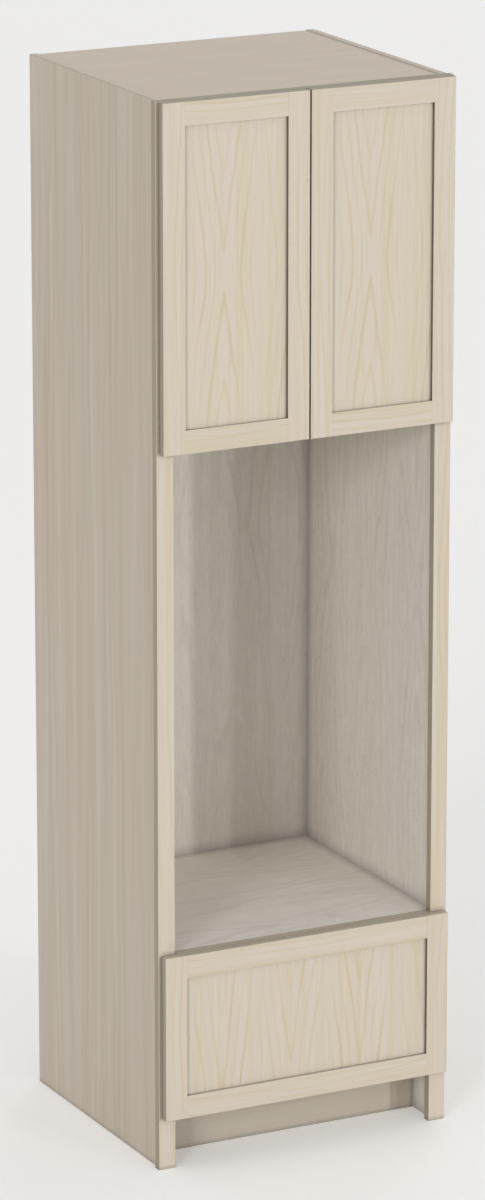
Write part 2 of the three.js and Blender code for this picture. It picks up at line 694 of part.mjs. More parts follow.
function hingeArm(side) {
  const x = acrossDoor(side);
  const near = STILE_EDGE_U + FIT;
  const far = near + ARM_THICKNESS;
  const behindStile = BUMPER_GAP + FRAME_THICKNESS + FIT;
  const rear = behindStile + ARM_THICKNESS;
  const earInner = LINK_HALF_WIDTH + ARM_EAR_GAP;
  const earOuter = earInner + ARM_EAR_THICKNESS;
  const slotEnd = FRAME_PIN[1] + LINK_EYE_RADIUS + ARM_SLOT_CLEARANCE;
  const wall = [
    [slotEnd, -earOuter],
    [ARM_SHOULDER_V, -earOuter],
    [ARM_SHOULDER_V + earOuter, -ARM_HALF_HEIGHT],
    [rear, -ARM_HALF_HEIGHT],
    [rear, ARM_HALF_HEIGHT],
    [ARM_SHOULDER_V + earOuter, ARM_HALF_HEIGHT],
    [ARM_SHOULDER_V, earOuter],
    [slotEnd, earOuter],
  ];
  const [wallFrom, wallTo] = range(x(near), x(far));
  const flange = board(
    range(x(BOARD + DOOR_REVEAL - FRAME_OVERHANG + ARM_SIDE_GAP), x(far)),
    [behindStile, rear],
    [-ARM_HALF_HEIGHT, ARM_HALF_HEIGHT],
  );
  const pinCentre = [x(FRAME_PIN[0]), FRAME_PIN[1]];
  const ears = [[-earOuter, -earInner], [earInner, earOuter]].flatMap(([from, to]) => [
    bar("z", pinCentre, ARM_EAR_RADIUS, from, to, EAR_SIDES),
    board(range(x(near), x(FRAME_PIN[0])), [FRAME_PIN[1], ARM_SHOULDER_V], [from, to]),
  ]);
  const pin = bar("z", pinCentre, PIN_RADIUS, -earOuter + FIT, earOuter - FIT, PIN_SIDES);
  const edgeScrewV = BUMPER_GAP + FRAME_THICKNESS / 2;
  const flangeScrewX = x((BOARD + near) / 2);
  const throughWall = [wallFrom - OVERRUN, wallTo + OVERRUN];
  const throughFlange = [behindStile - OVERRUN, rear + OVERRUN];
  const screwHole = (axis, centre, through) => bar(
    axis,
    centre,
    HINGE_SCREW_HOLE_RADIUS,
    ...through,
    SCREW_HOLE_SIDES,
  );
  const screwHoles = [-ARM_SCREW_Z, ARM_SCREW_Z].flatMap((z) => [
    screwHole("x", [edgeScrewV, z], throughWall),
    screwHole("y", [flangeScrewX, z], throughFlange),
  ]);
  return cut(join(sweep("x", wall, wallFrom, wallTo), flange, ...ears, pin), ...screwHoles);
}

function buildHinges({ name, side }) {
  const group = new THREE.Group();
  for (const { name: height, z } of HINGE_HEIGHTS) {
    const hinge = new THREE.Group();
    addPiece(hinge, `hinge_cup_${name}_${height}`, hingeCup(side), "nickel");
    addPiece(hinge, `hinge_link_${name}_${height}`, hingeLink(side), "nickel");
    addPiece(hinge, `hinge_arm_${name}_${height}`, hingeArm(side), "nickel");
    hinge.position.set(side * DOOR_OUTER_X, DOOR_BACK_Y, OVEN_CEILING_Z + z);
    group.add(hinge);
  }
  return group;
}

// Shelf on four spoon pins

// A pin built at its hole in the side, with the spoon pointing into the cupboard.
function shelfPin(side) {
  const x = (into) => -side * into;
  const spoon = new THREE.Shape();
  const tip = SPOON_LENGTH - SPOON_HALF_WIDTH;
  spoon.moveTo(x(FIT), -SPOON_HALF_WIDTH);
  spoon.lineTo(x(tip), -SPOON_HALF_WIDTH);
  spoon.absarc(x(tip), 0, SPOON_HALF_WIDTH, -Math.PI / 2, Math.PI / 2, side > 0);
  spoon.lineTo(x(FIT), SPOON_HALF_WIDTH);
  return join(
    bar("x", [0, 0], PEG_RADIUS, ...range(x(-PEG_LENGTH), x(PEG_NOSE)), PIN_SIDES),
    sweep("z", spoon, SPOON_RISE - SPOON_THICKNESS, SPOON_RISE),
  );
}

function buildShelf() {
  const group = new THREE.Group();
  const underside = SHELF_ROW_Z + SPOON_RISE;
  const half = SIDE_INNER_X - SHELF_PLAY;
  addPiece(group, "adjustable_shelf", board(
    [-half, half],
    [FRAME_BACK_Y + SHELF_SET_BACK, BACK_INNER_Y - SHELF_PLAY],
    [underside + FIT, underside + FIT + SHELF_THICKNESS],
  ), "inside");
  for (const { name, side } of HANDS) {
    const pins = new THREE.Group();
    ["front", "rear"].forEach((place, index) => {
      const holder = new THREE.Group();
      addPiece(holder, `shelf_pin_${name}_${place}`, shelfPin(side), "nickel");
      holder.position.set(side * SIDE_INNER_X, PIN_COLUMNS_Y[index], SHELF_ROW_Z);
      pins.add(holder);
    });
    group.add(pins);
  }
  return group;
}

// Drawer box, dovetailed at its four corners, built behind the drawer front

const RUNNER_LENGTH = BACK_INNER_Y - FRAME_FRONT_Y - RUNNER_REAR_GAP;
const BOX_FRONT_Y = DOOR_BACK_Y + FIT;
const BOX_BACK_Y = FRAME_FRONT_Y + RUNNER_FRONT_GAP + RUNNER_LENGTH;
const BOX_HALF_WIDTH = FRAME_INNER_X - RUNNER_SPACE;
const BOX_BOTTOM_Z = DRAWER_OPENING_BOTTOM_Z + DRAWER_FLOOR_GAP;
const BOX_TOP_Z = DRAWER_OPENING_TOP_Z - DRAWER_TOP_GAP;
const TAIL_PITCH = (BOX_TOP_Z - BOX_BOTTOM_Z) / DOVETAIL_COUNT;

// One tail, seen on the side's face, from its shoulder to its wider tip and back.
function tail(index, end, play) {
  const middle = BOX_BOTTOM_Z + (index + 0.5) * TAIL_PITCH;
  const boardEnd = end < 0 ? BOX_FRONT_Y : BOX_BACK_Y;
  const tip = boardEnd + end * play;
  const shoulder = boardEnd - end * (DRAWER_BOARD + FIT);
  const wide = (TAIL_PITCH * DOVETAIL_SHARE) / 2 + play;
  const narrow = wide - (DRAWER_BOARD + FIT) * DOVETAIL_SLOPE;
  return [
    [shoulder, middle - narrow],
    [tip, middle - wide],
    [tip, middle + wide],
    [shoulder, middle + narrow],
  ];
}

function tails(end, play) {
  return Array.from({ length: DOVETAIL_COUNT }, (_, index) => tail(index, end, play));
}

// The room in the four boards for the bottom, a little larger than the bottom itself.
function bottomPanelSpace(play) {
  const insert = DRAWER_BOTTOM_INSERT + play;
  const half = BOX_HALF_WIDTH - DRAWER_BOARD + insert;
  const low = BOX_BOTTOM_Z + DRAWER_BOTTOM_RISE;
  return board(
    [-half, half],
    [BOX_FRONT_Y + DRAWER_BOARD - insert, BOX_BACK_Y - DRAWER_BOARD + insert],
    [low - play, low + DRAWER_BOTTOM_THICKNESS + play],
  );
}

function boxSide(side) {
  const frontShoulder = BOX_FRONT_Y + DRAWER_BOARD + FIT;
  const backShoulder = BOX_BACK_Y - DRAWER_BOARD - FIT;
  const outline = [
    [frontShoulder, BOX_BOTTOM_Z],
    ...tails(-1, 0).flat(),
    [frontShoulder, BOX_TOP_Z],
    [backShoulder, BOX_TOP_Z],
    ...tails(1, 0).flat().reverse(),
    [backShoulder, BOX_BOTTOM_Z],
  ];
  const x = range(side * (BOX_HALF_WIDTH - DRAWER_BOARD), side * BOX_HALF_WIDTH);
  return cut(sweep("x", outline, ...x), bottomPanelSpace(FIT));
}

function boxEnd(end) {
  const y = end < 0 ? [BOX_FRONT_Y, BOX_FRONT_Y + DRAWER_BOARD] : [BOX_BACK_Y - DRAWER_BOARD, BOX_BACK_Y];
  const sockets = HANDS.flatMap(({ side }) => {
    const x = range(side * (BOX_HALF_WIDTH - DRAWER_BOARD - FIT), side * (BOX_HALF_WIDTH + OVERRUN));
    return tails(end, FIT).map((outline) => sweep("x", outline, ...x));
  });
  const blank = board([-BOX_HALF_WIDTH, BOX_HALF_WIDTH], y, [BOX_BOTTOM_Z, BOX_TOP_Z]);
  return cut(blank, ...sockets, bottomPanelSpace(FIT));
}

function buildDrawerBox() {
  const group = new THREE.Group();
  for (const { name, side } of HANDS) {
    addPiece(group, `drawer_side_${name}`, boxSide(side), "drawer");
  }
  addPiece(group, "drawer_box_front", boxEnd(-1), "drawer");
  addPiece(group, "drawer_box_back", boxEnd(1), "drawer");
  addPiece(group, "drawer_bottom", bottomPanelSpace(0), "drawer");
  return group;
}

// Full-extension runners: three channels that nest, each hooked round the ball race of the next

// Half of a channel's centre line, from its web to the end of its lip, mirrored about z = 0.
function channel(half) {
  const mirrored = half.map(([depth, z]) => [depth, -z]);
  return [...mirrored.reverse(), ...half];
}

function runnerSections() {
  const caseFlange = RUNNER_HEIGHT / 2 - RUNNER_STEEL / 2;
  const middleFlange = caseFlange - RUNNER_STEEL / 2 - RUNNER_BALL_GAP - RUNNER_THIN_STEEL / 2;
  const drawerFlange = middleFlange - RUNNER_THIN_STEEL - RUNNER_BALL_GAP;
  const caseLip = middleFlange + RUNNER_THIN_STEEL / 2 + RUNNER_LIP_GAP;
  const middleLip = drawerFlange + RUNNER_THIN_STEEL / 2 + RUNNER_LIP_GAP;
  const drawerWeb = RUNNER_SPACE - FIT - RUNNER_THIN_STEEL / 2;
  const caseWeb = FIT + RUNNER_STEEL / 2;
  return [
    {
      name: "case",
      steel: RUNNER_STEEL,
      web: caseWeb,
      half: [[caseWeb, caseFlange], [RUNNER_CASE_DEPTH, caseFlange], [RUNNER_CASE_DEPTH, caseLip]],
    },
    {
      name: "middle",
      steel: RUNNER_THIN_STEEL,
      web: RUNNER_MIDDLE_FROM,
      half: [
        [RUNNER_MIDDLE_FROM, middleFlange],
        [RUNNER_MIDDLE_TO, middleFlange],
        [RUNNER_MIDDLE_TO, middleLip],
      ],
    },
    {
      name: "drawer",
      steel: RUNNER_THIN_STEEL,
      web: drawerWeb,
      half: [[drawerWeb, drawerFlange], [RUNNER_DRAWER_FROM, drawerFlange]],
    },
  ];
}

function runnerChannel({ steel, web, half }, side) {
  const x = (depth) => -side * depth;
  const centreLine = channel(half).map(([depth, z]) => [x(depth), z]);
  const body = sweep("y", stripOutline(centreLine, steel), 0, RUNNER_LENGTH);
  const holes = Array.from({ length: RUNNER_HOLE_COUNT }, (_, index) => {
    const share = index / (RUNNER_HOLE_COUNT - 1);
    const y = RUNNER_HOLE_INSET + share * (RUNNER_LENGTH - 2 * RUNNER_HOLE_INSET);
    return bar("x", [y, 0], RUNNER_HOLE_RADIUS, ...range(x(web - steel), x(web + steel)), SCREW_HOLE_SIDES);
  });
  return cut(body, ...holes);
}

function buildRunners() {
  const group = new THREE.Group();
  for (const { name, side } of HANDS) {
    const pair = new THREE.Group();
    for (const section of runnerSections()) {
      addPiece(pair, `runner_${section.name}_${name}`, runnerChannel(section, side), "zinc");
    }
    pair.position.set(side * FRAME_INNER_X, FRAME_FRONT_Y + RUNNER_FRONT_GAP, BOX_BOTTOM_Z + RUNNER_RISE);
    group.add(pair);
  }
  return group;
}

const unit = new THREE.Group();
unit.add(buildCase());
unit.add(buildFaceFrame());
for (const hand of HANDS) {
  unit.add(buildDoor(hand));
  unit.add(buildHinges(hand));
}
unit.add(buildShelf());
unit.add(buildDrawerFront());
unit.add(buildDrawerBox());
unit.add(buildRunners());

export default unit;
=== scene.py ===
import json
import math
import random

import bmesh
import bpy
from mathutils import Matrix, Vector

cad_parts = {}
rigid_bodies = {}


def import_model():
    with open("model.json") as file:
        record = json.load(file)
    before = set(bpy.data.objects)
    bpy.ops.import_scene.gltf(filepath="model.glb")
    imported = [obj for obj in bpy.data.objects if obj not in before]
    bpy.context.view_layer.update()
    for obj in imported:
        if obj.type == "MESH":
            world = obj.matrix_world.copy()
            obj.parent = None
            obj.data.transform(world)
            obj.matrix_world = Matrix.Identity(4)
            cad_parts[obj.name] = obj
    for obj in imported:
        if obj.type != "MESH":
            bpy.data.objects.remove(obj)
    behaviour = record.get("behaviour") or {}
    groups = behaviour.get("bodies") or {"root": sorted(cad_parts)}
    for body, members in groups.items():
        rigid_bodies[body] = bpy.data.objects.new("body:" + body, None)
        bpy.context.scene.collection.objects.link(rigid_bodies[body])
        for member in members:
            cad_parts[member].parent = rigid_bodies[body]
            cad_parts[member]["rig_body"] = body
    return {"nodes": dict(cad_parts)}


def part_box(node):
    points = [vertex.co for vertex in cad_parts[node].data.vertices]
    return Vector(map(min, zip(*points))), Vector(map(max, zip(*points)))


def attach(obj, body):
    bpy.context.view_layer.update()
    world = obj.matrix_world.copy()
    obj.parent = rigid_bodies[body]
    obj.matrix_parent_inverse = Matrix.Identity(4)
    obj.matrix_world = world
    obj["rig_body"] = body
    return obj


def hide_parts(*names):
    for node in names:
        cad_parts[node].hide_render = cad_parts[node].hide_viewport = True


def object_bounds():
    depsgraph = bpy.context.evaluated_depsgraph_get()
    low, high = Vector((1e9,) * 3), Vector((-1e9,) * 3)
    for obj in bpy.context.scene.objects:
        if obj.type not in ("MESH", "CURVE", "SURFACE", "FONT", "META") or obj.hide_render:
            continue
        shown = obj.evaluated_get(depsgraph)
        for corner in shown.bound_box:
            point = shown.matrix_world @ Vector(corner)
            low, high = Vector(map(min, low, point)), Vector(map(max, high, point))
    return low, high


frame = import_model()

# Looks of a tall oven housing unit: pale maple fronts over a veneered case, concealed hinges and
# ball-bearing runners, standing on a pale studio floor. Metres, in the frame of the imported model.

CAD_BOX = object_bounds()
MM = 0.001
AXES = {"x": 0, "y": 1, "z": 2}

# Which way along X each hand is, and the way that every back faces
HANDS = {"left": -1, "right": 1}
BACKWARDS = Vector((0, 1, 0))

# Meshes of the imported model: when two points are one, two faces are one flat face, and an edge is a corner
WELD = 0.002 * MM
FLAT_ANGLE = math.radians(0.5)
SHARP_ANGLE = math.radians(30)

# Edges: as sanding leaves them on a board, as the sticking rounds them towards a panel, and on metal
EASED_RADIUS = 0.4 * MM
STICKING_RADIUS = 0.9 * MM
SHEARED_RADIUS = 0.15 * MM
TUMBLED_RADIUS = 0.2 * MM
EDGE_SEGMENTS = 2
SHORTEST_EASED = 6 * MM
SHORTEST_SHEARED = 2.5 * MM

# How squarely a face looks a way before it takes the finish of that side
EDGE_NORMAL = 0.7
INWARD_NORMAL = 0.2

# Logs: how far from a board's middle the heart lay, and the numbers that tell one log from another
OFF_HEART = (0.02, 0.04)
LOG_NUMBERS = (1.0, 90.0)

# Growth lines: how blunt an arch is at its tip and a log's dip at its lowest place, how far the figure
# shifts through a board's thickness, and where in a year's growth the late wood starts and is darkest
BLUNT_ARCH = 6 * MM
BLUNT_DIP = 25 * MM
CUT_SLANT = 0.6
LATE_WOOD_START = 0.9
LATE_WOOD_DARKEST = (0.86, 0.88)
SLOW_WAVER_SHARE = 2.2
FAINTEST_YEAR = 0.25
FAINTEST_PATCH = 0.2
LEAF_JOINT_FADE = (0.55, 0.9)
FAINTEST_AT_JOINT = 0.2

# Fibres: frequencies per metre of the coarse and the fine ones, their shares in the whole, detail and
# roughness of their noises, and how dark and how light they make the cut end of a ply
COARSE_FIBRES = 320.0
FINE_FIBRES = 1300.0
FINE_STROKES = 4.0
COARSE_SHARE = 0.62
FINE_SHARE = 0.38
COARSE_DETAIL = (2.5, 0.6)
FINE_DETAIL = (2.0, 0.6)
STREAK_DETAIL = (3.0, 0.6)
STREAKS_ALONG = 1.1
TINT_SHARE = 0.6
FLECK_SHADE = 0.7
SAWN_SHADE = (0.93, 1.05)

# Noises: frequency per metre across a piece and along it, detail, roughness and distortion
NOISES = {
    "slow waver": (9.0, 1.8, 1.0, 0.5, 0.0),
    "quick waver": (26.0, 5.0, 2.0, 0.5, 0.0),
    "patch": (12.0, 2.4, 1.0, 0.5, 0.0),
    "curl": (22.0, 14.0, 2.0, 0.5, 0.0),
    "tint": (64.0, 0.8, 2.0, 0.5, 0.0),
    "figure": (58.0, 19.0, 3.5, 0.65, 0.8),
    "fleck": (420.0, 70.0, 1.0, 0.5, 0.0),
    "rolling line": (2600.0, 60.0, 2.0, 0.5, 0.0),
    "bloom": (90.0, 90.0, 3.0, 0.6, 0.0),
    "cloud": (900.0, 900.0, 2.0, 0.5, 0.0),
}

# The part of each noise's range that is drawn out to 0 and 1
RANGES = {
    "patch": (0.36, 0.62),
    "fibre": (0.3, 0.7),
    "streak": (0.34, 0.66),
    "tint": (0.36, 0.64),
    "figure": (0.3, 0.7),
    "fleck": (0.68, 0.77),
    "rolling line": (0.3, 0.7),
    "bloom": (0.35, 0.65),
    "cloud": (0.3, 0.7),
}

# Plywood edges: one ply, a band of painted shade along the edge's low side, and the seams of glue as a share
# of a ply
PLY = 2.1 * MM
PAINTED_SHADE_BAND = 3.6 * MM
PAINTED_SHADE_BAND_FADE = 1.3
SEAM_WIDTH = 0.09
SEAM_STRENGTH = 0.7

# Painted shade in the corners between boards: how deep it reaches, and the occlusion of a closed corner
PAINTED_CREASE_SHADE_REACH = 12 * MM
INSIDE_PAINTED_SHADE_REACH = 30 * MM
PANEL_PAINTED_SHADE_REACH = 4 * MM
PAINTED_SHADE_SAMPLES = 8
CLOSED_CREASE = 0.4

# Reliefs of the finishes: strength and real depth
FIBRE_RELIEF = (0.6, 0.02 * MM)
PLY_RELIEF = (0.4, 0.05 * MM)
PLATE_RELIEF = (0.25, 0.01 * MM)

# How far a finish's roughness goes from its own value, where its mask is 0 and where it is 1
WOOD_SHEEN = (-0.05, 0.06)
PLY_SHEEN = (-0.08, 0.1)
PLATE_SHEEN = (0.0, 0.12)
PAD_SHEEN = (0.0, 0.1)

# Screws: radius and height of their heads. Heads and pads are built from rings of so many sides. A ring
# is its reach, its half width where it is a cross, and its height, as shares of that radius and height
ROUND_SIDES = 32
CUP_SCREW = (3.6 * MM, 1.6 * MM)
FLANGE_SCREW = (3.2 * MM, 1.5 * MM)
RUNNER_SCREW = (3.4 * MM, 1.1 * MM)
HEAD_RINGS = (
    (1.0, None, 0.0),
    (1.0, None, 0.25),
    (0.86, None, 0.7),
    (0.62, None, 0.95),
    (0.52, 0.13, 1.0),
    (0.34, 0.10, 0.35),
)

# Where the screws go, and the thickness of the steel that their heads sit on
CUP_EAR = 5.5 * MM
ARM_SCREW_SPREAD = 15 * MM
ARM_FLANGE_INSET = 6 * MM
ARM_STEEL = 2.0 * MM
RUNNER_SCREW_INSET = 45 * MM
RUNNER_STEEL = 1.2 * MM
RUNNER_THIN_STEEL = 1.0 * MM

# Pads that the doors and the drawer front close against
PAD_SIZE = (4 * MM, 1.9 * MM)
PAD_INSET = 14 * MM
PAD_GLOW = 0.3
PAD_GLOW_REACH = (1 * MM, 1 * MM, 1 * MM)
PAD_RINGS = (
    (1.0, None, 0.0),
    (1.0, None, 0.35),
    (0.9, None, 0.7),
    (0.62, None, 0.93),
    (0.3, None, 1.0),
)

# Camera: a long lens from the left, above the unit
CAMERA_PLACE = Vector((-5.4088, -10.6141, 4.4423))
CAMERA_YAW = 0.4716
CAMERA_PITCH = 0.2709
CAMERA_LENS = 174.3
CAMERA_SENSOR = 36.0
CAMERA_REACH = 200.0

# Studio: a pale room that is brighter overhead, and soft lamps in front of the unit and behind it
HORIZON_LEVEL = 0.21
ZENITH_LEVEL = 0.72
BACKGROUND = 0.93
LAMP_DISTANCE = 60.0
LAMPS = {
    "key": {"azimuth": 24.7, "elevation": 8, "level": 0.167, "size": 1.8, "mirrored": True},
    "second": {"azimuth": 16.6, "elevation": 8, "level": 0.0735, "size": 1.8, "mirrored": True},
    "fill": {"azimuth": -48, "elevation": 15, "level": 0.305, "size": 15.6, "mirrored": True},
    "rear": {"azimuth": 140, "elevation": 10, "level": 0.22, "size": 24.0, "mirrored": False},
}
FLOOR_SIZE = 60.0
FLOOR_COLOUR = (247, 246, 244)
FLOOR_GLOW = 0.2


def srgb(red, green, blue):
    """A colour written as it is seen on a screen, 0 to 255, as a linear colour for a socket."""
    def linear(value):
        share = value / 255
        return share / 12.92 if share <= 0.04045 else ((share + 0.055) / 1.055) ** 2.4
    return (linear(red), linear(green), linear(blue), 1.0)


# Node trees

class Tree:
    """Adds nodes to one node tree; an input that is given a socket is linked, anything else is set."""

    def __init__(self, tree):
        self.tree = tree

    def feed(self, socket, value):
        if isinstance(value, bpy.types.NodeSocket):
            self.tree.links.new(value, socket)
        else:
            socket.default_value = value

    def node(self, kind, inputs=None, **settings):
        node = self.tree.nodes.new(kind)
        for key, value in settings.items():
            setattr(node, key, value)
        for key, value in (inputs or {}).items():
            self.feed(node.inputs[key], value)
        return node

    def math(self, operation, first, second=0.0):
        return self.node("ShaderNodeMath", {0: first, 1: second}, operation=operation).outputs[0]

    def vector(self, operation, first, second):
        return self.node("ShaderNodeVectorMath", {0: first, 1: second}, operation=operation).outputs[0]

    def remap(self, value, low, high, to_low=0.0, to_high=1.0, smooth=False):
        kind = "SMOOTHSTEP" if smooth else "LINEAR"
        inputs = {"Value": value, "From Min": low, "From Max": high, "To Min": to_low, "To Max": to_high}
        return self.node("ShaderNodeMapRange", inputs, interpolation_type=kind).outputs[0]

    def blend(self, factor, first, second, kind="MIX"):
        node = self.node("ShaderNodeMix", data_type="RGBA", blend_type=kind)
        self.feed(node.inputs[0], factor)
        self.feed(node.inputs[6], first)
        self.feed(node.inputs[7], second)
        return node.outputs[2]

    def texture(self, place, detail, roughness, distortion=0.0):
        """A noise that has one wave in each unit of the place it is given."""
        inputs = {
            "Vector": place,
            "Scale": 1.0,
            "Detail": detail,
            "Roughness": roughness,
            "Distortion": distortion,
        }
        return self.node("ShaderNodeTexNoise", inputs).outputs["Fac"]

    def noise(self, place, effect):
        """One of the NOISES, as fine across a piece and as long along it as its row says."""
        across, along, *rest = NOISES[effect]
        return self.texture(self.vector("MULTIPLY", place, (across, across, along)), *rest)


def new_group(name, inputs, outputs):
    """An empty shader group with named sockets; each input is (name, kind, value)."""
    group = bpy.data.node_groups.new(name, "ShaderNodeTree")
    for label, kind, value in inputs:
        socket = group.interface.new_socket(label, in_out="INPUT", socket_type=f"NodeSocket{kind}")
        if value is not None:
            socket.default_value = value
    for label, kind in outputs:
        group.interface.new_socket(label, in_out="OUTPUT", socket_type=f"NodeSocket{kind}")
    tree = Tree(group)
    return tree, tree.node("NodeGroupInput"), tree.node("NodeGroupOutput")


def seeded(tree, given):
    """A board's place moved far away by the number of its log, so that no two boards share a figure."""
    log = given.outputs["Log"]
    steps = tree.node("ShaderNodeCombineXYZ", {0: log, 1: log, 2: 0.0}).outputs[0]
    return tree.vector("ADD", given.outputs["Place"], steps)


def growth_line_group():
    """Late-wood lines: long arches down the middle of each leaf, uneven in strength and in course."""
    tree, given, result = new_group(
        "growth lines",
        [
            ("Place", "Vector", None),
            ("Log", "Float", 0.0),
            ("Leaf Width", "Float", 0.15),
            ("Spacing", "Float", 0.02),
            ("Slope", "Float", 0.13),
            ("Waver", "Float", 0.8),
            ("Line Width", "Float", 0.3),
        ],
        [("Line", "Float")],
    )
    place = seeded(tree, given)
    parts = tree.node("ShaderNodeSeparateXYZ", {0: given.outputs["Place"]}).outputs
    across = tree.math("ADD", parts[0], tree.math("MULTIPLY", parts[1], CUT_SLANT))
    half_leaf = tree.math("MULTIPLY", given.outputs["Leaf Width"], 0.5)
    off_middle = tree.math("PINGPONG", across, half_leaf)
    from_heart = tree.math("SQRT", tree.math("ADD", tree.math("POWER", off_middle, 2.0), BLUNT_ARCH ** 2))
    along = tree.math("SQRT", tree.math("ADD", tree.math("POWER", parts[2], 2.0), BLUNT_DIP ** 2))
    climb = tree.math("MULTIPLY", along, given.outputs["Slope"])
    count = tree.math("DIVIDE", tree.math("SUBTRACT", from_heart, climb), given.outputs["Spacing"])
    slow = tree.math("MULTIPLY", tree.noise(place, "slow waver"), SLOW_WAVER_SHARE)
    waver = tree.math("ADD", slow, tree.noise(place, "quick waver"))
    count = tree.math("ADD", count, tree.math("MULTIPLY", waver, given.outputs["Waver"]))
    season = tree.math("FRACT", count)
    start = tree.math("SUBTRACT", LATE_WOOD_START, given.outputs["Line Width"])
    darkest, last = LATE_WOOD_DARKEST
    rise = tree.remap(season, start, darkest, smooth=True)
    fall = tree.remap(season, last, 1.0, 1.0, 0.0, smooth=True)
    year = tree.node("ShaderNodeTexWhiteNoise", {"W": tree.math("FLOOR", count)}, noise_dimensions="1D")
    strength = tree.remap(year.outputs["Value"], 0.0, 1.0, FAINTEST_YEAR, 1.0)
    patch = tree.remap(tree.noise(place, "patch"), *RANGES["patch"], FAINTEST_PATCH, 1.0)
    outwards = tree.math("DIVIDE", off_middle, half_leaf)
    at_joint = tree.remap(outwards, *LEAF_JOINT_FADE, 1.0, FAINTEST_AT_JOINT)
    strength = tree.math("MULTIPLY", tree.math("MULTIPLY", strength, patch), at_joint)
    tree.feed(result.inputs["Line"], tree.math("MULTIPLY", tree.math("MULTIPLY", rise, fall), strength))
    return tree.tree


def fibre_group():
    """Fine fibres, streaks in tone and in tint, clouded figure and the short dark flecks of maple."""
    tree, given, result = new_group(
        "maple fibres",
        [
            ("Place", "Vector", None),
            ("Log", "Float", 0.0),
            ("Curl", "Float", 0.0),
            ("Flecks", "Float", 0.5),
            ("Streaks Across", "Float", 110.0),
            ("Strokes Along", "Float", 6.0),
        ],
        [("Fibre", "Float"), ("Streak", "Float"), ("Tint", "Float"), ("Figure", "Float"), ("Fleck", "Float")],
    )
    place = seeded(tree, given)
    curl = tree.math("SUBTRACT", tree.noise(place, "curl"), 0.5)
    shift = tree.node("ShaderNodeCombineXYZ", {0: tree.math("MULTIPLY", curl, given.outputs["Curl"])})
    bent = tree.vector("ADD", place, shift.outputs[0])

    def drawn_out(across, along):
        """The bent place with its own frequency per metre across the board and along it."""
        steps = tree.node("ShaderNodeCombineXYZ", {0: across, 1: across, 2: along}).outputs[0]
        return tree.vector("MULTIPLY", bent, steps)

    strokes = given.outputs["Strokes Along"]
    fine_strokes = tree.math("MULTIPLY", strokes, FINE_STROKES)
    coarse = tree.texture(drawn_out(COARSE_FIBRES, strokes), *COARSE_DETAIL)
    fine = tree.texture(drawn_out(FINE_FIBRES, fine_strokes), *FINE_DETAIL)
    fibre = tree.math("MULTIPLY", coarse, COARSE_SHARE)
    fibre = tree.math("ADD", fibre, tree.math("MULTIPLY", fine, FINE_SHARE))
    streak = tree.texture(drawn_out(given.outputs["Streaks Across"], STREAKS_ALONG), *STREAK_DETAIL)
    tint = tree.noise(bent, "tint")
    figure = tree.noise(bent, "figure")
    fleck = tree.remap(tree.noise(bent, "fleck"), *RANGES["fleck"], smooth=True)
    tree.feed(result.inputs["Fibre"], tree.remap(fibre, *RANGES["fibre"]))
    tree.feed(result.inputs["Streak"], tree.remap(streak, *RANGES["streak"]))
    tree.feed(result.inputs["Tint"], tree.remap(tint, *RANGES["tint"]))
    tree.feed(result.inputs["Figure"], tree.remap(figure, *RANGES["figure"]))
    tree.feed(result.inputs["Fleck"], tree.math("MULTIPLY", fleck, given.outputs["Flecks"]))
    return tree.tree


def leaf_group():
    """The leaves of a sliced veneer: each strip across the board has a tone of its own."""
    tree, given, result = new_group(
        "veneer leaves",
        [("Place", "Vector", None), ("Log", "Float", 0.0), ("Leaf Width", "Float", 0.16)],
        [("Tone", "Float")],
    )
    parts = tree.node("ShaderNodeSeparateXYZ", {0: seeded(tree, given)})
    leaf = tree.math("FLOOR", tree.math("DIVIDE", parts.outputs[0], given.outputs["Leaf Width"]))
    tone = tree.node("ShaderNodeTexWhiteNoise", {"W": leaf}, noise_dimensions="1D")
    tree.feed(result.inputs["Tone"], tone.outputs["Value"])
    return tree.tree


def ply_group():
    """The edge of a veneer-core board: a darker band of painted shade along its low side, then cross-laid
    plies, seen side on.
    """
    tree, given, result = new_group(
        "plies",
        [("Place", "Vector", None), ("Ply", "Float", PLY)],
        [("Layer", "Float"), ("Seam", "Float"), ("Painted Shade Band", "Float")],
    )
    depth = tree.node("ShaderNodeSeparateXYZ", {0: given.outputs["Place"]}).outputs[1]
    count = tree.math("DIVIDE", depth, given.outputs["Ply"])
    layer = tree.math("PINGPONG", tree.math("FLOOR", count), 1.0)
    seam = tree.remap(tree.math("PINGPONG", count, 0.5), 0.0, SEAM_WIDTH, 1.0, 0.0, smooth=True)
    # painted shade: 1 in a band along the low side of the edge, fading out past it
    painted_shade_band = tree.remap(depth, PAINTED_SHADE_BAND, PAINTED_SHADE_BAND_FADE * PAINTED_SHADE_BAND, 1.0, 0.0, smooth=True)
    tree.feed(result.inputs["Layer"], layer)
    tree.feed(result.inputs["Seam"], seam)
    tree.feed(result.inputs["Painted Shade Band"], painted_shade_band)
    return tree.tree


def rolled_metal_group():
    """Plated sheet metal: faint rolling lines along the strip and a cloudy bloom in the plating."""
    tree, given, result = new_group(
        "plated sheet",
        [("Place", "Vector", None)],
        [("Lines", "Float"), ("Bloom", "Float")],
    )
    lines = tree.noise(given.outputs["Place"], "rolling line")
    bloom = tree.noise(given.outputs["Place"], "bloom")
    tree.feed(result.inputs["Lines"], tree.remap(lines, *RANGES["rolling line"]))
    tree.feed(result.inputs["Bloom"], tree.remap(bloom, *RANGES["bloom"]))
    return tree.tree


GROWTH_LINES = growth_line_group()
MAPLE_FIBRES = fibre_group()
VENEER_LEAVES = leaf_group()
PLIES = ply_group()
PLATED_SHEET = rolled_metal_group()


# Finishes

def empty_tree(owner):
    """Clears the nodes of a material or a world; new ones go into the tree that this gives."""
    owner.use_nodes = True
    owner.node_tree.nodes.clear()
    return Tree(owner.node_tree)


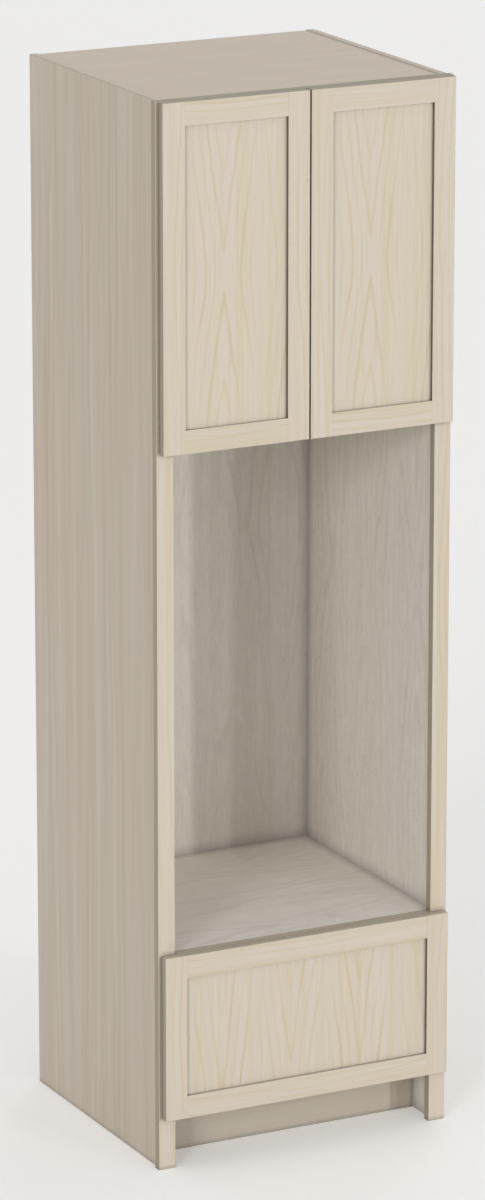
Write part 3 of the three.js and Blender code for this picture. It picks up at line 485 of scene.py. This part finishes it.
def new_material(name):
    """A material with a Principled shader, and the tree that its nodes go into."""
    material = bpy.data.materials.new(name)
    tree = empty_tree(material)
    shader = tree.node("ShaderNodeBsdfPrincipled")
    output = tree.node("ShaderNodeOutputMaterial")
    tree.feed(output.inputs["Surface"], shader.outputs["BSDF"])
    return material, tree, shader


def place_group(tree, group, **values):
    """One of the groups, fed with the place in its log that each point of the board was cut from."""
    node = tree.node("ShaderNodeGroup", node_tree=group)
    place = tree.node("ShaderNodeAttribute", attribute_name="cut_place").outputs["Vector"]
    tree.feed(node.inputs["Place"], place)
    if "Log" in node.inputs:
        log = tree.node("ShaderNodeAttribute", attribute_name="log_number").outputs["Fac"]
        tree.feed(node.inputs["Log"], log)
    for label, value in values.items():
        tree.feed(node.inputs[label.replace("_", " ")], value)
    return node.outputs


def shaded(tree, colour, *shades):
    """A colour multiplied by one or more grey shades."""
    for shade in shades:
        grey = tree.node("ShaderNodeCombineColor", {0: shade, 1: shade, 2: shade}).outputs[0]
        colour = tree.blend(1.0, colour, grey, "MULTIPLY")
    return colour


def painted_crease_shade(tree, reach, depth):
    """Painted shade: grey for the corners between boards, darker where a corner is more closed, and 1 away
    from them.
    """
    occlusion = tree.node("ShaderNodeAmbientOcclusion", {"Distance": reach}, samples=PAINTED_SHADE_SAMPLES)
    return tree.remap(occlusion.outputs["AO"], CLOSED_CREASE, 1.0, 1.0 - depth, 1.0)


def swing(tree, mask, depth):
    """Grey that goes as far above 1 as below it, as a mask goes from 0 to 1."""
    return tree.remap(mask, 0.0, 1.0, 1.0 - depth, 1.0 + depth)


def vary_sheen(tree, shader, mask, roughness, sheen):
    """Feeds the shader's roughness, which goes from one end of the sheen to the other with a mask."""
    low, high = sheen
    rough = tree.remap(mask, 0.0, 1.0, roughness + low, roughness + high)
    tree.feed(shader.inputs["Roughness"], rough)


def raise_relief(tree, shader, height, relief):
    """Feeds the shader's normal from a height; the relief is its strength and its depth in metres."""
    strength, depth = relief
    bump = {"Height": height, "Strength": strength, "Distance": depth}
    tree.feed(shader.inputs["Normal"], tree.node("ShaderNodeBump", bump).outputs["Normal"])


def maple(name, pale, warm, rosy, line, spacing, line_strength, streaks, slope=0.05, waver=0.8,
          line_width=0.3, curl=0.0, flecks=0.3, strokes=6.0, fibre_depth=0.03, figure_depth=0.0,
          leaf=0.3, leaf_depth=0.0, roughness=0.46, painted_shade_reach=PAINTED_CREASE_SHADE_REACH, painted_shade_depth=0.45):
    """Clear-finished maple: streaks of three pale tones, late-wood lines, fibres, figure and flecks, and
    painted shade in its corners.

    spacing is the distance from one year's line to the next, slope how fast the lines run out along
    the board, and leaf the width of a strip of veneer. streaks and strokes are counted per metre.
    """
    material, tree, shader = new_material(name)
    fibres = place_group(tree, MAPLE_FIBRES, Curl=curl, Flecks=flecks, Streaks_Across=streaks,
                         Strokes_Along=strokes)
    growth = place_group(tree, GROWTH_LINES, Leaf_Width=leaf, Spacing=spacing, Slope=slope, Waver=waver,
                         Line_Width=line_width)
    colour = tree.blend(fibres["Streak"], srgb(*pale), srgb(*warm))
    colour = tree.blend(tree.math("MULTIPLY", fibres["Tint"], TINT_SHARE), colour, srgb(*rosy))
    colour = tree.blend(tree.math("MULTIPLY", growth["Line"], line_strength), colour, srgb(*line))
    shades = [
        swing(tree, fibres["Fibre"], fibre_depth),
        tree.remap(fibres["Fleck"], 0.0, 1.0, 1.0, FLECK_SHADE),
        # painted shade: the wood is darkened in its corners by ambient occlusion
        painted_crease_shade(tree, painted_shade_reach, painted_shade_depth),
    ]
    if figure_depth:
        shades.append(swing(tree, fibres["Figure"], figure_depth))
    if leaf_depth:
        shades.append(swing(tree, place_group(tree, VENEER_LEAVES, Leaf_Width=leaf)["Tone"], leaf_depth))
    tree.feed(shader.inputs["Base Color"], shaded(tree, colour, *shades))
    vary_sheen(tree, shader, fibres["Fibre"], roughness, WOOD_SHEEN)
    raise_relief(tree, shader, fibres["Fibre"], FIBRE_RELIEF)
    return material


def ply_edge(name, light, dark, glue, painted_shade_band, roughness=0.62, painted_shade_depth=0.3):
    """A sawn and sealed plywood edge: plies by turns along and across the cut, glue seams between."""
    material, tree, shader = new_material(name)
    plies = place_group(tree, PLIES)
    fibres = place_group(tree, MAPLE_FIBRES)
    colour = tree.blend(plies["Layer"], srgb(*light), srgb(*dark))
    colour = tree.blend(tree.math("MULTIPLY", plies["Seam"], SEAM_STRENGTH), colour, srgb(*glue))
    # painted shade: a darker band along the low side of the edge
    colour = tree.blend(plies["Painted Shade Band"], colour, srgb(*painted_shade_band))
    shade = tree.remap(fibres["Fibre"], 0.0, 1.0, *SAWN_SHADE)
    # painted shade: the ply edge is darkened in its corners by ambient occlusion
    painted_corner_shade = painted_crease_shade(tree, PAINTED_CREASE_SHADE_REACH, painted_shade_depth)
    tree.feed(shader.inputs["Base Color"], shaded(tree, colour, shade, painted_corner_shade))
    vary_sheen(tree, shader, fibres["Fibre"], roughness, PLY_SHEEN)
    raise_relief(tree, shader, plies["Layer"], PLY_RELIEF)
    return material


def plated_metal(name, bright, dull, roughness):
    """Nickel or zinc on pressed steel."""
    material, tree, shader = new_material(name)
    sheet = tree.node("ShaderNodeGroup", node_tree=PLATED_SHEET)
    tree.feed(sheet.inputs["Place"], tree.node("ShaderNodeTexCoord").outputs["Object"])
    tree.feed(shader.inputs["Base Color"], tree.blend(sheet.outputs["Bloom"], srgb(*bright), srgb(*dull)))
    shader.inputs["Metallic"].default_value = 1.0
    vary_sheen(tree, shader, sheet.outputs["Bloom"], roughness, PLATE_SHEEN)
    raise_relief(tree, shader, sheet.outputs["Lines"], PLATE_RELIEF)
    return material


def soft_pad(name, clear, cloudy, roughness):
    """Cast soft plastic, a little cloudy, with a faint matt bloom."""
    material, tree, shader = new_material(name)
    cloud = tree.noise(tree.node("ShaderNodeTexCoord").outputs["Object"], "cloud")
    tree.feed(shader.inputs["Base Color"], tree.blend(cloud, srgb(*clear), srgb(*cloudy)))
    vary_sheen(tree, shader, tree.remap(cloud, *RANGES["cloud"]), roughness, PAD_SHEEN)
    shader.inputs["Subsurface Weight"].default_value = PAD_GLOW
    shader.inputs["Subsurface Radius"].default_value = PAD_GLOW_REACH
    return material


# How the kinds of maple differ: solid faces, thin sliced skins, the figured lining and the fronts' panels
FACE = {"spacing": 0.017, "line_strength": 0.65, "streaks": 75.0}
SKIN = {
    "spacing": 0.024,
    "slope": 0.03,
    "line_width": 0.4,
    "line_strength": 0.5,
    "streaks": 42.0,
}
LINER = {
    "spacing": 0.03,
    "slope": 0.2,
    "waver": 1.6,
    "line_width": 0.5,
    "line_strength": 0.5,
    "curl": 0.012,
    "flecks": 0.8,
    "streaks": 60.0,
    "strokes": 26.0,
    "fibre_depth": 0.055,
    "figure_depth": 0.035,
    "leaf": 0.19,
    "leaf_depth": 0.015,
    "roughness": 0.5,
    # painted shade in the lining's corners: how far it reaches and how dark it gets
    "painted_shade_reach": INSIDE_PAINTED_SHADE_REACH,
    "painted_shade_depth": 0.36,
}
PANEL = {
    "spacing": 0.021,
    "slope": 0.136,
    "waver": 0.6,
    "line_width": 0.34,
    "line_strength": 0.85,
    "leaf": 0.165,
    "fibre_depth": 0.045,
    "streaks": 90.0,
    # painted shade in the panels' corners: how far it reaches and how dark it gets
    "painted_shade_reach": PANEL_PAINTED_SHADE_REACH,
    "painted_shade_depth": 0.13,
}
SEALED_EDGE = {**FACE, "roughness": 0.55}
RECESS = {**FACE, "roughness": 0.6}
SATIN_SKIN = {**SKIN, "roughness": 0.5}
MATT_SKIN = {**SKIN, "roughness": 0.6}

# Each finish of maple: its pale, warm and rosy tones, the colour of its lines, and its kind
MAPLES = {
    "face_wood": ((216, 207, 194), (210, 197, 170), (215, 200, 187), (205, 187, 150), FACE),
    "face_edge": ((168, 157, 141), (164, 152, 134), (169, 156, 141), (155, 140, 117), SEALED_EDGE),
    # painted shadow: a darker copy of the edge finish, for the inner edge of each front's right-hand stile
    "painted_shadow_edge": ((120, 108, 91), (116, 105, 88), (120, 107, 92), (112, 99, 80), RECESS),
    # painted light: a lighter copy of the edge finish for edges in shade, namely the bottom rails' inner
    # edges, the drawer front's top edge and the under-oven rail's edges
    "painted_light_edge": ((194, 185, 170), (190, 180, 163), (195, 184, 170), (180, 168, 147), SEALED_EDGE),
    "panel_veneer": ((215, 206, 192), (211, 199, 173), (217, 202, 190), (203, 184, 144), PANEL),
    "case_veneer": ((207, 198, 184), (195, 181, 160), (205, 190, 177), (190, 174, 149), SATIN_SKIN),
    "top_veneer": ((216, 202, 184), (211, 195, 175), (217, 202, 184), (206, 188, 164), SATIN_SKIN),
    "inside_veneer": ((229, 225, 217), (223, 216, 206), (228, 220, 211), (208, 200, 190), LINER),
    # painted light: a lighter copy of the inside veneer, for the oven deck's top, which lies in shade
    "painted_light_deck_veneer": ((244, 240, 233), (239, 233, 224), (242, 235, 229), (222, 214, 205), LINER),
    "toe_board": ((197, 188, 174), (193, 181, 165), (197, 186, 173), (186, 171, 150), MATT_SKIN),
    "drawer_wood": ((214, 202, 183), (211, 197, 174), (215, 201, 183), (202, 183, 150), FACE),
    "drawer_edge": ((196, 183, 162), (191, 176, 153), (196, 182, 162), (180, 161, 130), FACE),
}
FINISHES = {name: maple(name, *tones, **kind) for name, (*tones, kind) in MAPLES.items()}
FINISHES |= {
    # the last colour of the ply edge is its band of painted shade along the low side
    "ply_edge": ply_edge("ply_edge", (221, 210, 194), (211, 199, 182), (178, 163, 143), (184, 171, 152)),
    "hinge_nickel": plated_metal("hinge_nickel", (206, 203, 197), (188, 185, 179), 0.24),
    "runner_zinc": plated_metal("runner_zinc", (186, 187, 188), (174, 175, 177), 0.32),
    "bumper_pad": soft_pad("bumper_pad", (222, 221, 216), (208, 207, 201), 0.32),
}


# Boards

def packed_mesh(node):
    """A piece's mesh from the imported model, welded and with each flat face made whole."""
    body = bmesh.new()
    body.from_mesh(frame["nodes"][node].data)
    bmesh.ops.remove_doubles(body, verts=body.verts[:], dist=WELD)
    bmesh.ops.dissolve_limit(body, angle_limit=FLAT_ANGLE, verts=body.verts[:], edges=body.edges[:])
    return body


def ease_edges(body, radius, shortest, inward=None):
    """Rounds over the edges that a hand reaches; those towards a panel get the sticking's radius."""
    def outward(edge):
        return (
            len(edge.link_faces) == 2
            and edge.calc_face_angle_signed(0.0) > SHARP_ANGLE
            and edge.calc_length() > shortest
        )

    def sticks(edge):
        return inward is not None and any(face.normal.dot(inward) > EDGE_NORMAL for face in edge.link_faces)

    def round_over(edges, offset):
        bmesh.ops.bevel(body, geom=edges, offset=offset, segments=EDGE_SEGMENTS, profile=0.5,
                        affect="EDGES", clamp_overlap=True)

    round_over([edge for edge in body.edges if outward(edge) and not sticks(edge)], radius)
    round_over([edge for edge in body.edges if outward(edge) and sticks(edge)], STICKING_RADIUS)


def finished_mesh(name, body, smooth=False):
    """Ends the work on a mesh; a smooth one is shaded round except at its corners."""
    mesh = bpy.data.meshes.new(name)
    body.to_mesh(mesh)
    body.free()
    if smooth:
        mesh.shade_smooth()
        mesh.set_sharp_from_angle(angle=SHARP_ANGLE)
    return mesh


def show_instead(name, mesh):
    """Puts a mesh in the place of a node, on the node's own body."""
    piece = bpy.data.objects.new(name + "_shown", mesh)
    bpy.context.scene.collection.objects.link(piece)
    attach(piece, frame["nodes"][name]["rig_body"])
    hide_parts(name)


def write_cut_place(mesh, name, along, through, dip, log_name):
    """Stores on each point where in its log it was cut, and on all of them the number of that log."""
    draw = random.Random(log_name)
    third = next(axis for axis in AXES if axis not in (along, through))
    low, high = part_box(name)
    middle = (low[AXES[third]] + high[AXES[third]]) / 2
    lowest = low[AXES[along]] + dip * (high[AXES[along]] - low[AXES[along]])
    off_heart = draw.uniform(*OFF_HEART)
    log = draw.uniform(*LOG_NUMBERS)
    places = []
    for vertex in mesh.vertices:
        places += [
            vertex.co[AXES[third]] - middle + off_heart,
            vertex.co[AXES[through]] - low[AXES[through]],
            vertex.co[AXES[along]] - lowest,
        ]
    mesh.attributes.new("cut_place", "FLOAT_VECTOR", "POINT").data.foreach_set("vector", places)
    logs = [log] * len(mesh.vertices)
    mesh.attributes.new("log_number", "FLOAT", "POINT").data.foreach_set("value", logs)


def finish_index(normal, way, inward):
    """0 for a board's low face, 1 for its high face and 2 for its edges.

    On a front's frame it is also 3 for the edge towards the panel and 4 for an edge that faces up.
    """
    if inward is not None and normal.dot(inward) > INWARD_NORMAL:
        return 3
    if inward is not None and normal.z > EDGE_NORMAL:
        return 4
    if normal[way] < -EDGE_NORMAL:
        return 0
    return 1 if normal[way] > EDGE_NORMAL else 2


def shape_board(name, along, through, finishes, inward=None, dip=0.5, log_name=None):
    """Replaces a board by one with eased edges; its finishes follow the order of finish_index.

    dip is the share of its length at which the log's heart came nearest. Boards with the same
    log_name are matched: they show the same figure.
    """
    body = packed_mesh(name)
    ease_edges(body, EASED_RADIUS, SHORTEST_EASED, inward)
    for face in body.faces:
        face.material_index = finish_index(face.normal, AXES[through], inward)
    mesh = finished_mesh(name + "_shown", body)
    for finish in finishes:
        mesh.materials.append(FINISHES[finish])
    write_cut_place(mesh, name, along, through, dip, log_name or name)
    show_instead(name, mesh)


def shape_front(prefix, left_stile, right_stile, dip, top_edge, log_name):
    """The five pieces of a door or drawer front; the photograph shows the right inner edge darkest."""
    members = (
        (left_stile, "z", Vector((1, 0, 0)), "face_edge"),
        # painted shadow: the right-hand stile's inner edge takes the darker copy of the edge finish
        (right_stile, "z", Vector((-1, 0, 0)), "painted_shadow_edge"),
        ("top_rail", "x", Vector((0, 0, -1)), "face_edge"),
        # painted light: the bottom rail's inner edge takes the lighter copy of the edge finish
        ("bottom_rail", "x", Vector((0, 0, 1)), "painted_light_edge"),
    )
    for member, along, inward, inner_edge in members:
        face = ("face_wood", "face_wood", "face_edge", inner_edge, top_edge)
        shape_board(f"{prefix}_{member}", along, "y", face, inward)
    panel = ("panel_veneer", "panel_veneer", "face_edge")
    shape_board(f"{prefix}_panel", "z", "y", panel, dip=dip, log_name=log_name)


def shape_boards():
    """Every board of the case, its frame, the fronts and the drawer box."""
    face = ("face_wood", "face_wood", "face_edge")
    liner = ("inside_veneer", "inside_veneer", "ply_edge")
    box = ("drawer_wood", "drawer_wood", "drawer_edge")
    matched = {"dip": 0.5, "top_edge": "face_edge", "log_name": "door_right_panel"}
    shape_front("door_left", "hinge_stile", "meeting_stile", **matched)
    shape_front("door_right", "meeting_stile", "hinge_stile", **matched)
    # painted light: the drawer front's top edge takes the lighter copy of the edge finish
    shape_front("drawer_front", "stile_left", "stile_right", dip=0.0, top_edge="painted_light_edge",
                log_name="drawer_front_panel")
    for hand in HANDS:
        skins = ("case_veneer", "inside_veneer") if hand == "left" else ("inside_veneer", "case_veneer")
        shape_board(f"side_panel_{hand}", "z", "x", (*skins, "ply_edge"))
        shape_board(f"deck_support_{hand}", "y", "x", liner)
        shape_board(f"frame_stile_{hand}", "z", "y", face)
        shape_board(f"drawer_side_{hand}", "y", "x", box)
    for name in ("cupboard_floor", "bottom_panel", "adjustable_shelf"):
        shape_board(name, "x", "z", liner)
    # painted light: the deck's top face takes the lighter copy of the inside veneer
    shape_board("oven_deck", "x", "z", ("inside_veneer", "painted_light_deck_veneer", "ply_edge"))
    shape_board("top_panel", "x", "z", ("inside_veneer", "top_veneer", "ply_edge"))
    shape_board("back_panel", "z", "y", ("inside_veneer", "case_veneer", "ply_edge"))
    shape_board("toe_kick_board", "x", "y", ("toe_board", "inside_veneer", "ply_edge"))
    for rail in ("top", "over_oven", "bottom"):
        shape_board(f"frame_rail_{rail}", "x", "y", face)
    # painted light: this rail's edges take the lighter copy of the edge finish
    shape_board("frame_rail_under_oven", "x", "y", ("face_wood", "face_wood", "painted_light_edge"))
    for end in ("front", "back"):
        shape_board(f"drawer_box_{end}", "x", "y", box)
    shape_board("drawer_bottom", "x", "z", ("drawer_wood", "drawer_wood", "ply_edge"))


# Metalwork

def smooth_metal(name, slot, radius):
    """Replaces a metal piece by one with its sheared edges softened and its curves shaded round."""
    body = packed_mesh(name)
    ease_edges(body, radius, SHORTEST_SHEARED)
    mesh = finished_mesh(name + "_shown", body, smooth=True)
    mesh.materials.append(FINISHES[slot])
    show_instead(name, mesh)


def shape_metalwork():
    """The hinges, the shelf's pins and the runners."""
    for hand in HANDS:
        for height in ("lower", "upper"):
            smooth_metal(f"hinge_cup_{hand}_{height}", "hinge_nickel", SHEARED_RADIUS)
            smooth_metal(f"hinge_link_{hand}_{height}", "hinge_nickel", TUMBLED_RADIUS)
            smooth_metal(f"hinge_arm_{hand}_{height}", "hinge_nickel", TUMBLED_RADIUS)
        for place in ("front", "rear"):
            smooth_metal(f"shelf_pin_{hand}_{place}", "hinge_nickel", TUMBLED_RADIUS)
        for member in ("case", "middle", "drawer"):
            smooth_metal(f"runner_{member}_{hand}", "runner_zinc", SHEARED_RADIUS)


# Screws and pads

def ring_reach(angle, reach, half_width):
    """How far a ring is from its middle at an angle; one with a half width is a cross."""
    if half_width is None:
        return reach
    wide = max(abs(math.cos(angle)), abs(math.sin(angle)))
    narrow = min(abs(math.cos(angle)), abs(math.sin(angle)))
    end = reach / wide
    return end if end * narrow <= half_width else half_width / narrow


def ringed_mesh(name, rings, size):
    """A closed piece through its rings, its seat at the origin and its top towards +Z."""
    radius, height = size
    turns = [2 * math.pi * step / ROUND_SIDES for step in range(ROUND_SIDES)]
    body = bmesh.new()
    loops = []
    for reach, half_width, up in rings:
        loop = []
        for angle in turns:
            away = radius * ring_reach(angle, reach, half_width)
            loop.append(body.verts.new((away * math.cos(angle), away * math.sin(angle), up * height)))
        loops.append(loop)
    for lower, upper in zip(loops, loops[1:]):
        for step in range(ROUND_SIDES):
            after = (step + 1) % ROUND_SIDES
            body.faces.new((lower[step], lower[after], upper[after], upper[step]))
    body.faces.new(list(reversed(loops[0])))
    body.faces.new(loops[-1])
    return finished_mesh(name, body, smooth=True)


def seat_piece(name, mesh, finish, body, place, outwards):
    """Puts a screw or a pad on a body, its seat at a place and its top facing outwards."""
    mesh.transform(Matrix.Translation(place) @ outwards.to_track_quat("Z", "X").to_matrix().to_4x4())
    mesh.materials.append(FINISHES[finish])
    piece = bpy.data.objects.new(name, mesh)
    bpy.context.scene.collection.objects.link(piece)
    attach(piece, body)
    return piece


def drive_screw(name, body, slot, place, outwards, size):
    """A domed screw head with a cross recess."""
    mesh = ringed_mesh("screw_head", HEAD_RINGS, size)
    piece = seat_piece(name, mesh, slot, body, place, outwards)


def drive_hinge_screws():
    """Two screws in each cup, and two in the frame's edge and two behind it at each arm."""
    for hand, side in HANDS.items():
        low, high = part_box(f"frame_stile_{hand}")
        edge = low.x if side > 0 else high.x
        middle_depth = (low.y + high.y) / 2
        for height in ("lower", "upper"):
            low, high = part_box(f"hinge_cup_{hand}_{height}")
            ear = high.x - CUP_EAR if side < 0 else low.x + CUP_EAR
            for end, z in (("low", low.z + CUP_EAR), ("high", high.z - CUP_EAR)):
                drive_screw(f"hinge_cup_screw_{hand}_{height}_{end}", f"door_{hand}", "hinge_nickel",
                            Vector((ear, high.y, z)), BACKWARDS, CUP_SCREW)
            low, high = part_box(f"hinge_arm_{hand}_{height}")
            middle = (low + high) / 2
            for end, z in (("low", middle.z - ARM_SCREW_SPREAD), ("high", middle.z + ARM_SCREW_SPREAD)):
                drive_screw(f"hinge_edge_screw_{hand}_{height}_{end}", "root", "hinge_nickel",
                            Vector((edge - side * ARM_STEEL, middle_depth, z)),
                            Vector((-side, 0, 0)), CUP_SCREW)
                drive_screw(f"hinge_flange_screw_{hand}_{height}_{end}", "root", "hinge_nickel",
                            Vector((edge + side * ARM_FLANGE_INSET, high.y, z)), BACKWARDS, FLANGE_SCREW)


def drive_runner_screws():
    """Three screws through each case member into the cabinet, and three into each drawer side."""
    for hand, side in HANDS.items():
        low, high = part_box(f"runner_case_{hand}")
        back = low.x if side < 0 else high.x
        middle = (low + high) / 2
        low_member, high_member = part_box(f"runner_drawer_{hand}")
        web = high_member.x if side < 0 else low_member.x
        ends = {"front": low.y + RUNNER_SCREW_INSET, "middle": middle.y, "rear": high.y - RUNNER_SCREW_INSET}
        for end, y in ends.items():
            drive_screw(f"runner_case_screw_{hand}_{end}", "root", "runner_zinc",
                        Vector((back - side * RUNNER_STEEL, y, middle.z)),
                        Vector((-side, 0, 0)), RUNNER_SCREW)
            drive_screw(f"runner_drawer_screw_{hand}_{end}", "drawer", "runner_zinc",
                        Vector((web + side * RUNNER_THIN_STEEL, y, middle.z)),
                        Vector((side, 0, 0)), RUNNER_SCREW)


def stick_pad(name, body, place):
    """A clear bumper on the back of a front: a low dome on a short straight rim."""
    mesh = ringed_mesh("bumper_pad", PAD_RINGS, PAD_SIZE)
    seat_piece(name, mesh, "bumper_pad", body, place, BACKWARDS)


def stick_pads():
    """Two pads on each door's closing side and four on the drawer front."""
    for hand, side in HANDS.items():
        low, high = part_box(f"door_{hand}_meeting_stile")
        x = high.x - PAD_INSET if side < 0 else low.x + PAD_INSET
        for end, z in (("low", low.z + PAD_INSET), ("high", high.z - PAD_INSET)):
            stick_pad(f"door_pad_{hand}_{end}", f"door_{hand}", Vector((x, high.y, z)))
    for hand, side in HANDS.items():
        low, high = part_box(f"drawer_front_stile_{hand}")
        x = low.x + PAD_INSET if side < 0 else high.x - PAD_INSET
        for end, z in (("low", low.z + PAD_INSET), ("high", high.z - PAD_INSET)):
            stick_pad(f"drawer_pad_{hand}_{end}", "drawer", Vector((x, high.y, z)))


# Stage

def seen_directly(tree):
    """1 for rays that show the surroundings themselves: straight, mirrored or through glass."""
    path = tree.node("ShaderNodeLightPath").outputs
    seen = tree.math("MAXIMUM", path["Is Camera Ray"], path["Is Glossy Ray"])
    return tree.math("MAXIMUM", seen, path["Is Transmission Ray"])


def build_floor():
    """A pale matt floor that takes the unit's shadow and glows a little where it is seen."""
    material = bpy.data.materials.new("studio_floor")
    tree = empty_tree(material)
    matt = tree.node("ShaderNodeBsdfDiffuse", {"Color": srgb(*FLOOR_COLOUR)})
    glow = tree.math("MULTIPLY", seen_directly(tree), FLOOR_GLOW)
    glow = tree.node("ShaderNodeEmission", {"Strength": glow})
    both = tree.node("ShaderNodeAddShader", {0: matt.outputs[0], 1: glow.outputs[0]})
    output = tree.node("ShaderNodeOutputMaterial")
    tree.feed(output.inputs["Surface"], both.outputs[0])
    half = FLOOR_SIZE / 2
    corners = [(-half, -half, 0), (half, -half, 0), (half, half, 0), (-half, half, 0)]
    mesh = bpy.data.meshes.new("floor")
    mesh.from_pydata(corners, [], [(0, 1, 2, 3)])
    mesh.materials.append(material)
    floor = bpy.data.objects.new("floor", mesh)
    bpy.context.scene.collection.objects.link(floor)


def build_room():
    """Light from all round, stronger from above, behind a plain pale background."""
    world = bpy.data.worlds.new("studio")
    bpy.context.scene.world = world
    tree = empty_tree(world)
    direction = tree.node("ShaderNodeTexCoord").outputs["Generated"]
    up = tree.node("ShaderNodeSeparateXYZ", {0: direction}).outputs[2]
    room = tree.remap(up, 0.0, 1.0, HORIZON_LEVEL, ZENITH_LEVEL)
    level = tree.remap(seen_directly(tree), 0.0, 1.0, room, BACKGROUND)
    sky = tree.node("ShaderNodeBackground", {"Color": (1.0, 1.0, 1.0, 1.0), "Strength": level})
    output = tree.node("ShaderNodeOutputWorld")
    tree.feed(output.inputs["Surface"], sky.outputs[0])


def build_lamps():
    """Square soft lamps round the unit; a level of 1 shows a white surface that faces one as white."""
    centre = (CAD_BOX[0] + CAD_BOX[1]) / 2
    for name, lamp in LAMPS.items():
        light = bpy.data.lights.new(name, "AREA")
        light.shape = "SQUARE"
        light.size = lamp["size"]
        light.energy = lamp["level"] * math.pi ** 2 * LAMP_DISTANCE ** 2
        azimuth = math.radians(lamp["azimuth"])
        elevation = math.radians(lamp["elevation"])
        flat = math.cos(elevation)
        way = Vector((flat * math.sin(azimuth), -flat * math.cos(azimuth), math.sin(elevation)))
        holder = bpy.data.objects.new(name, light)
        holder.location = centre + way * LAMP_DISTANCE
        holder.rotation_euler = way.to_track_quat("Z", "Y").to_euler()
        holder.visible_glossy = lamp["mirrored"]
        bpy.context.scene.collection.objects.link(holder)


def build_camera():
    """The photograph's view; its frame is taller than wide, so the lens is fitted to the height."""
    lens = bpy.data.cameras.new("camera")
    lens.sensor_fit = "VERTICAL"
    lens.sensor_height = CAMERA_SENSOR
    lens.lens = CAMERA_LENS
    lens.clip_end = CAMERA_REACH
    camera = bpy.data.objects.new("camera", lens)
    camera.location = CAMERA_PLACE
    camera.rotation_euler = (math.pi / 2 - CAMERA_PITCH, 0.0, -CAMERA_YAW)
    bpy.context.scene.collection.objects.link(camera)
    bpy.context.scene.camera = camera


shape_boards()
shape_metalwork()
drive_hinge_screws()
drive_runner_screws()
stick_pads()
build_floor()
build_room()
build_lamps()
build_camera()
bpy.context.scene.view_settings.view_transform = "Standard"
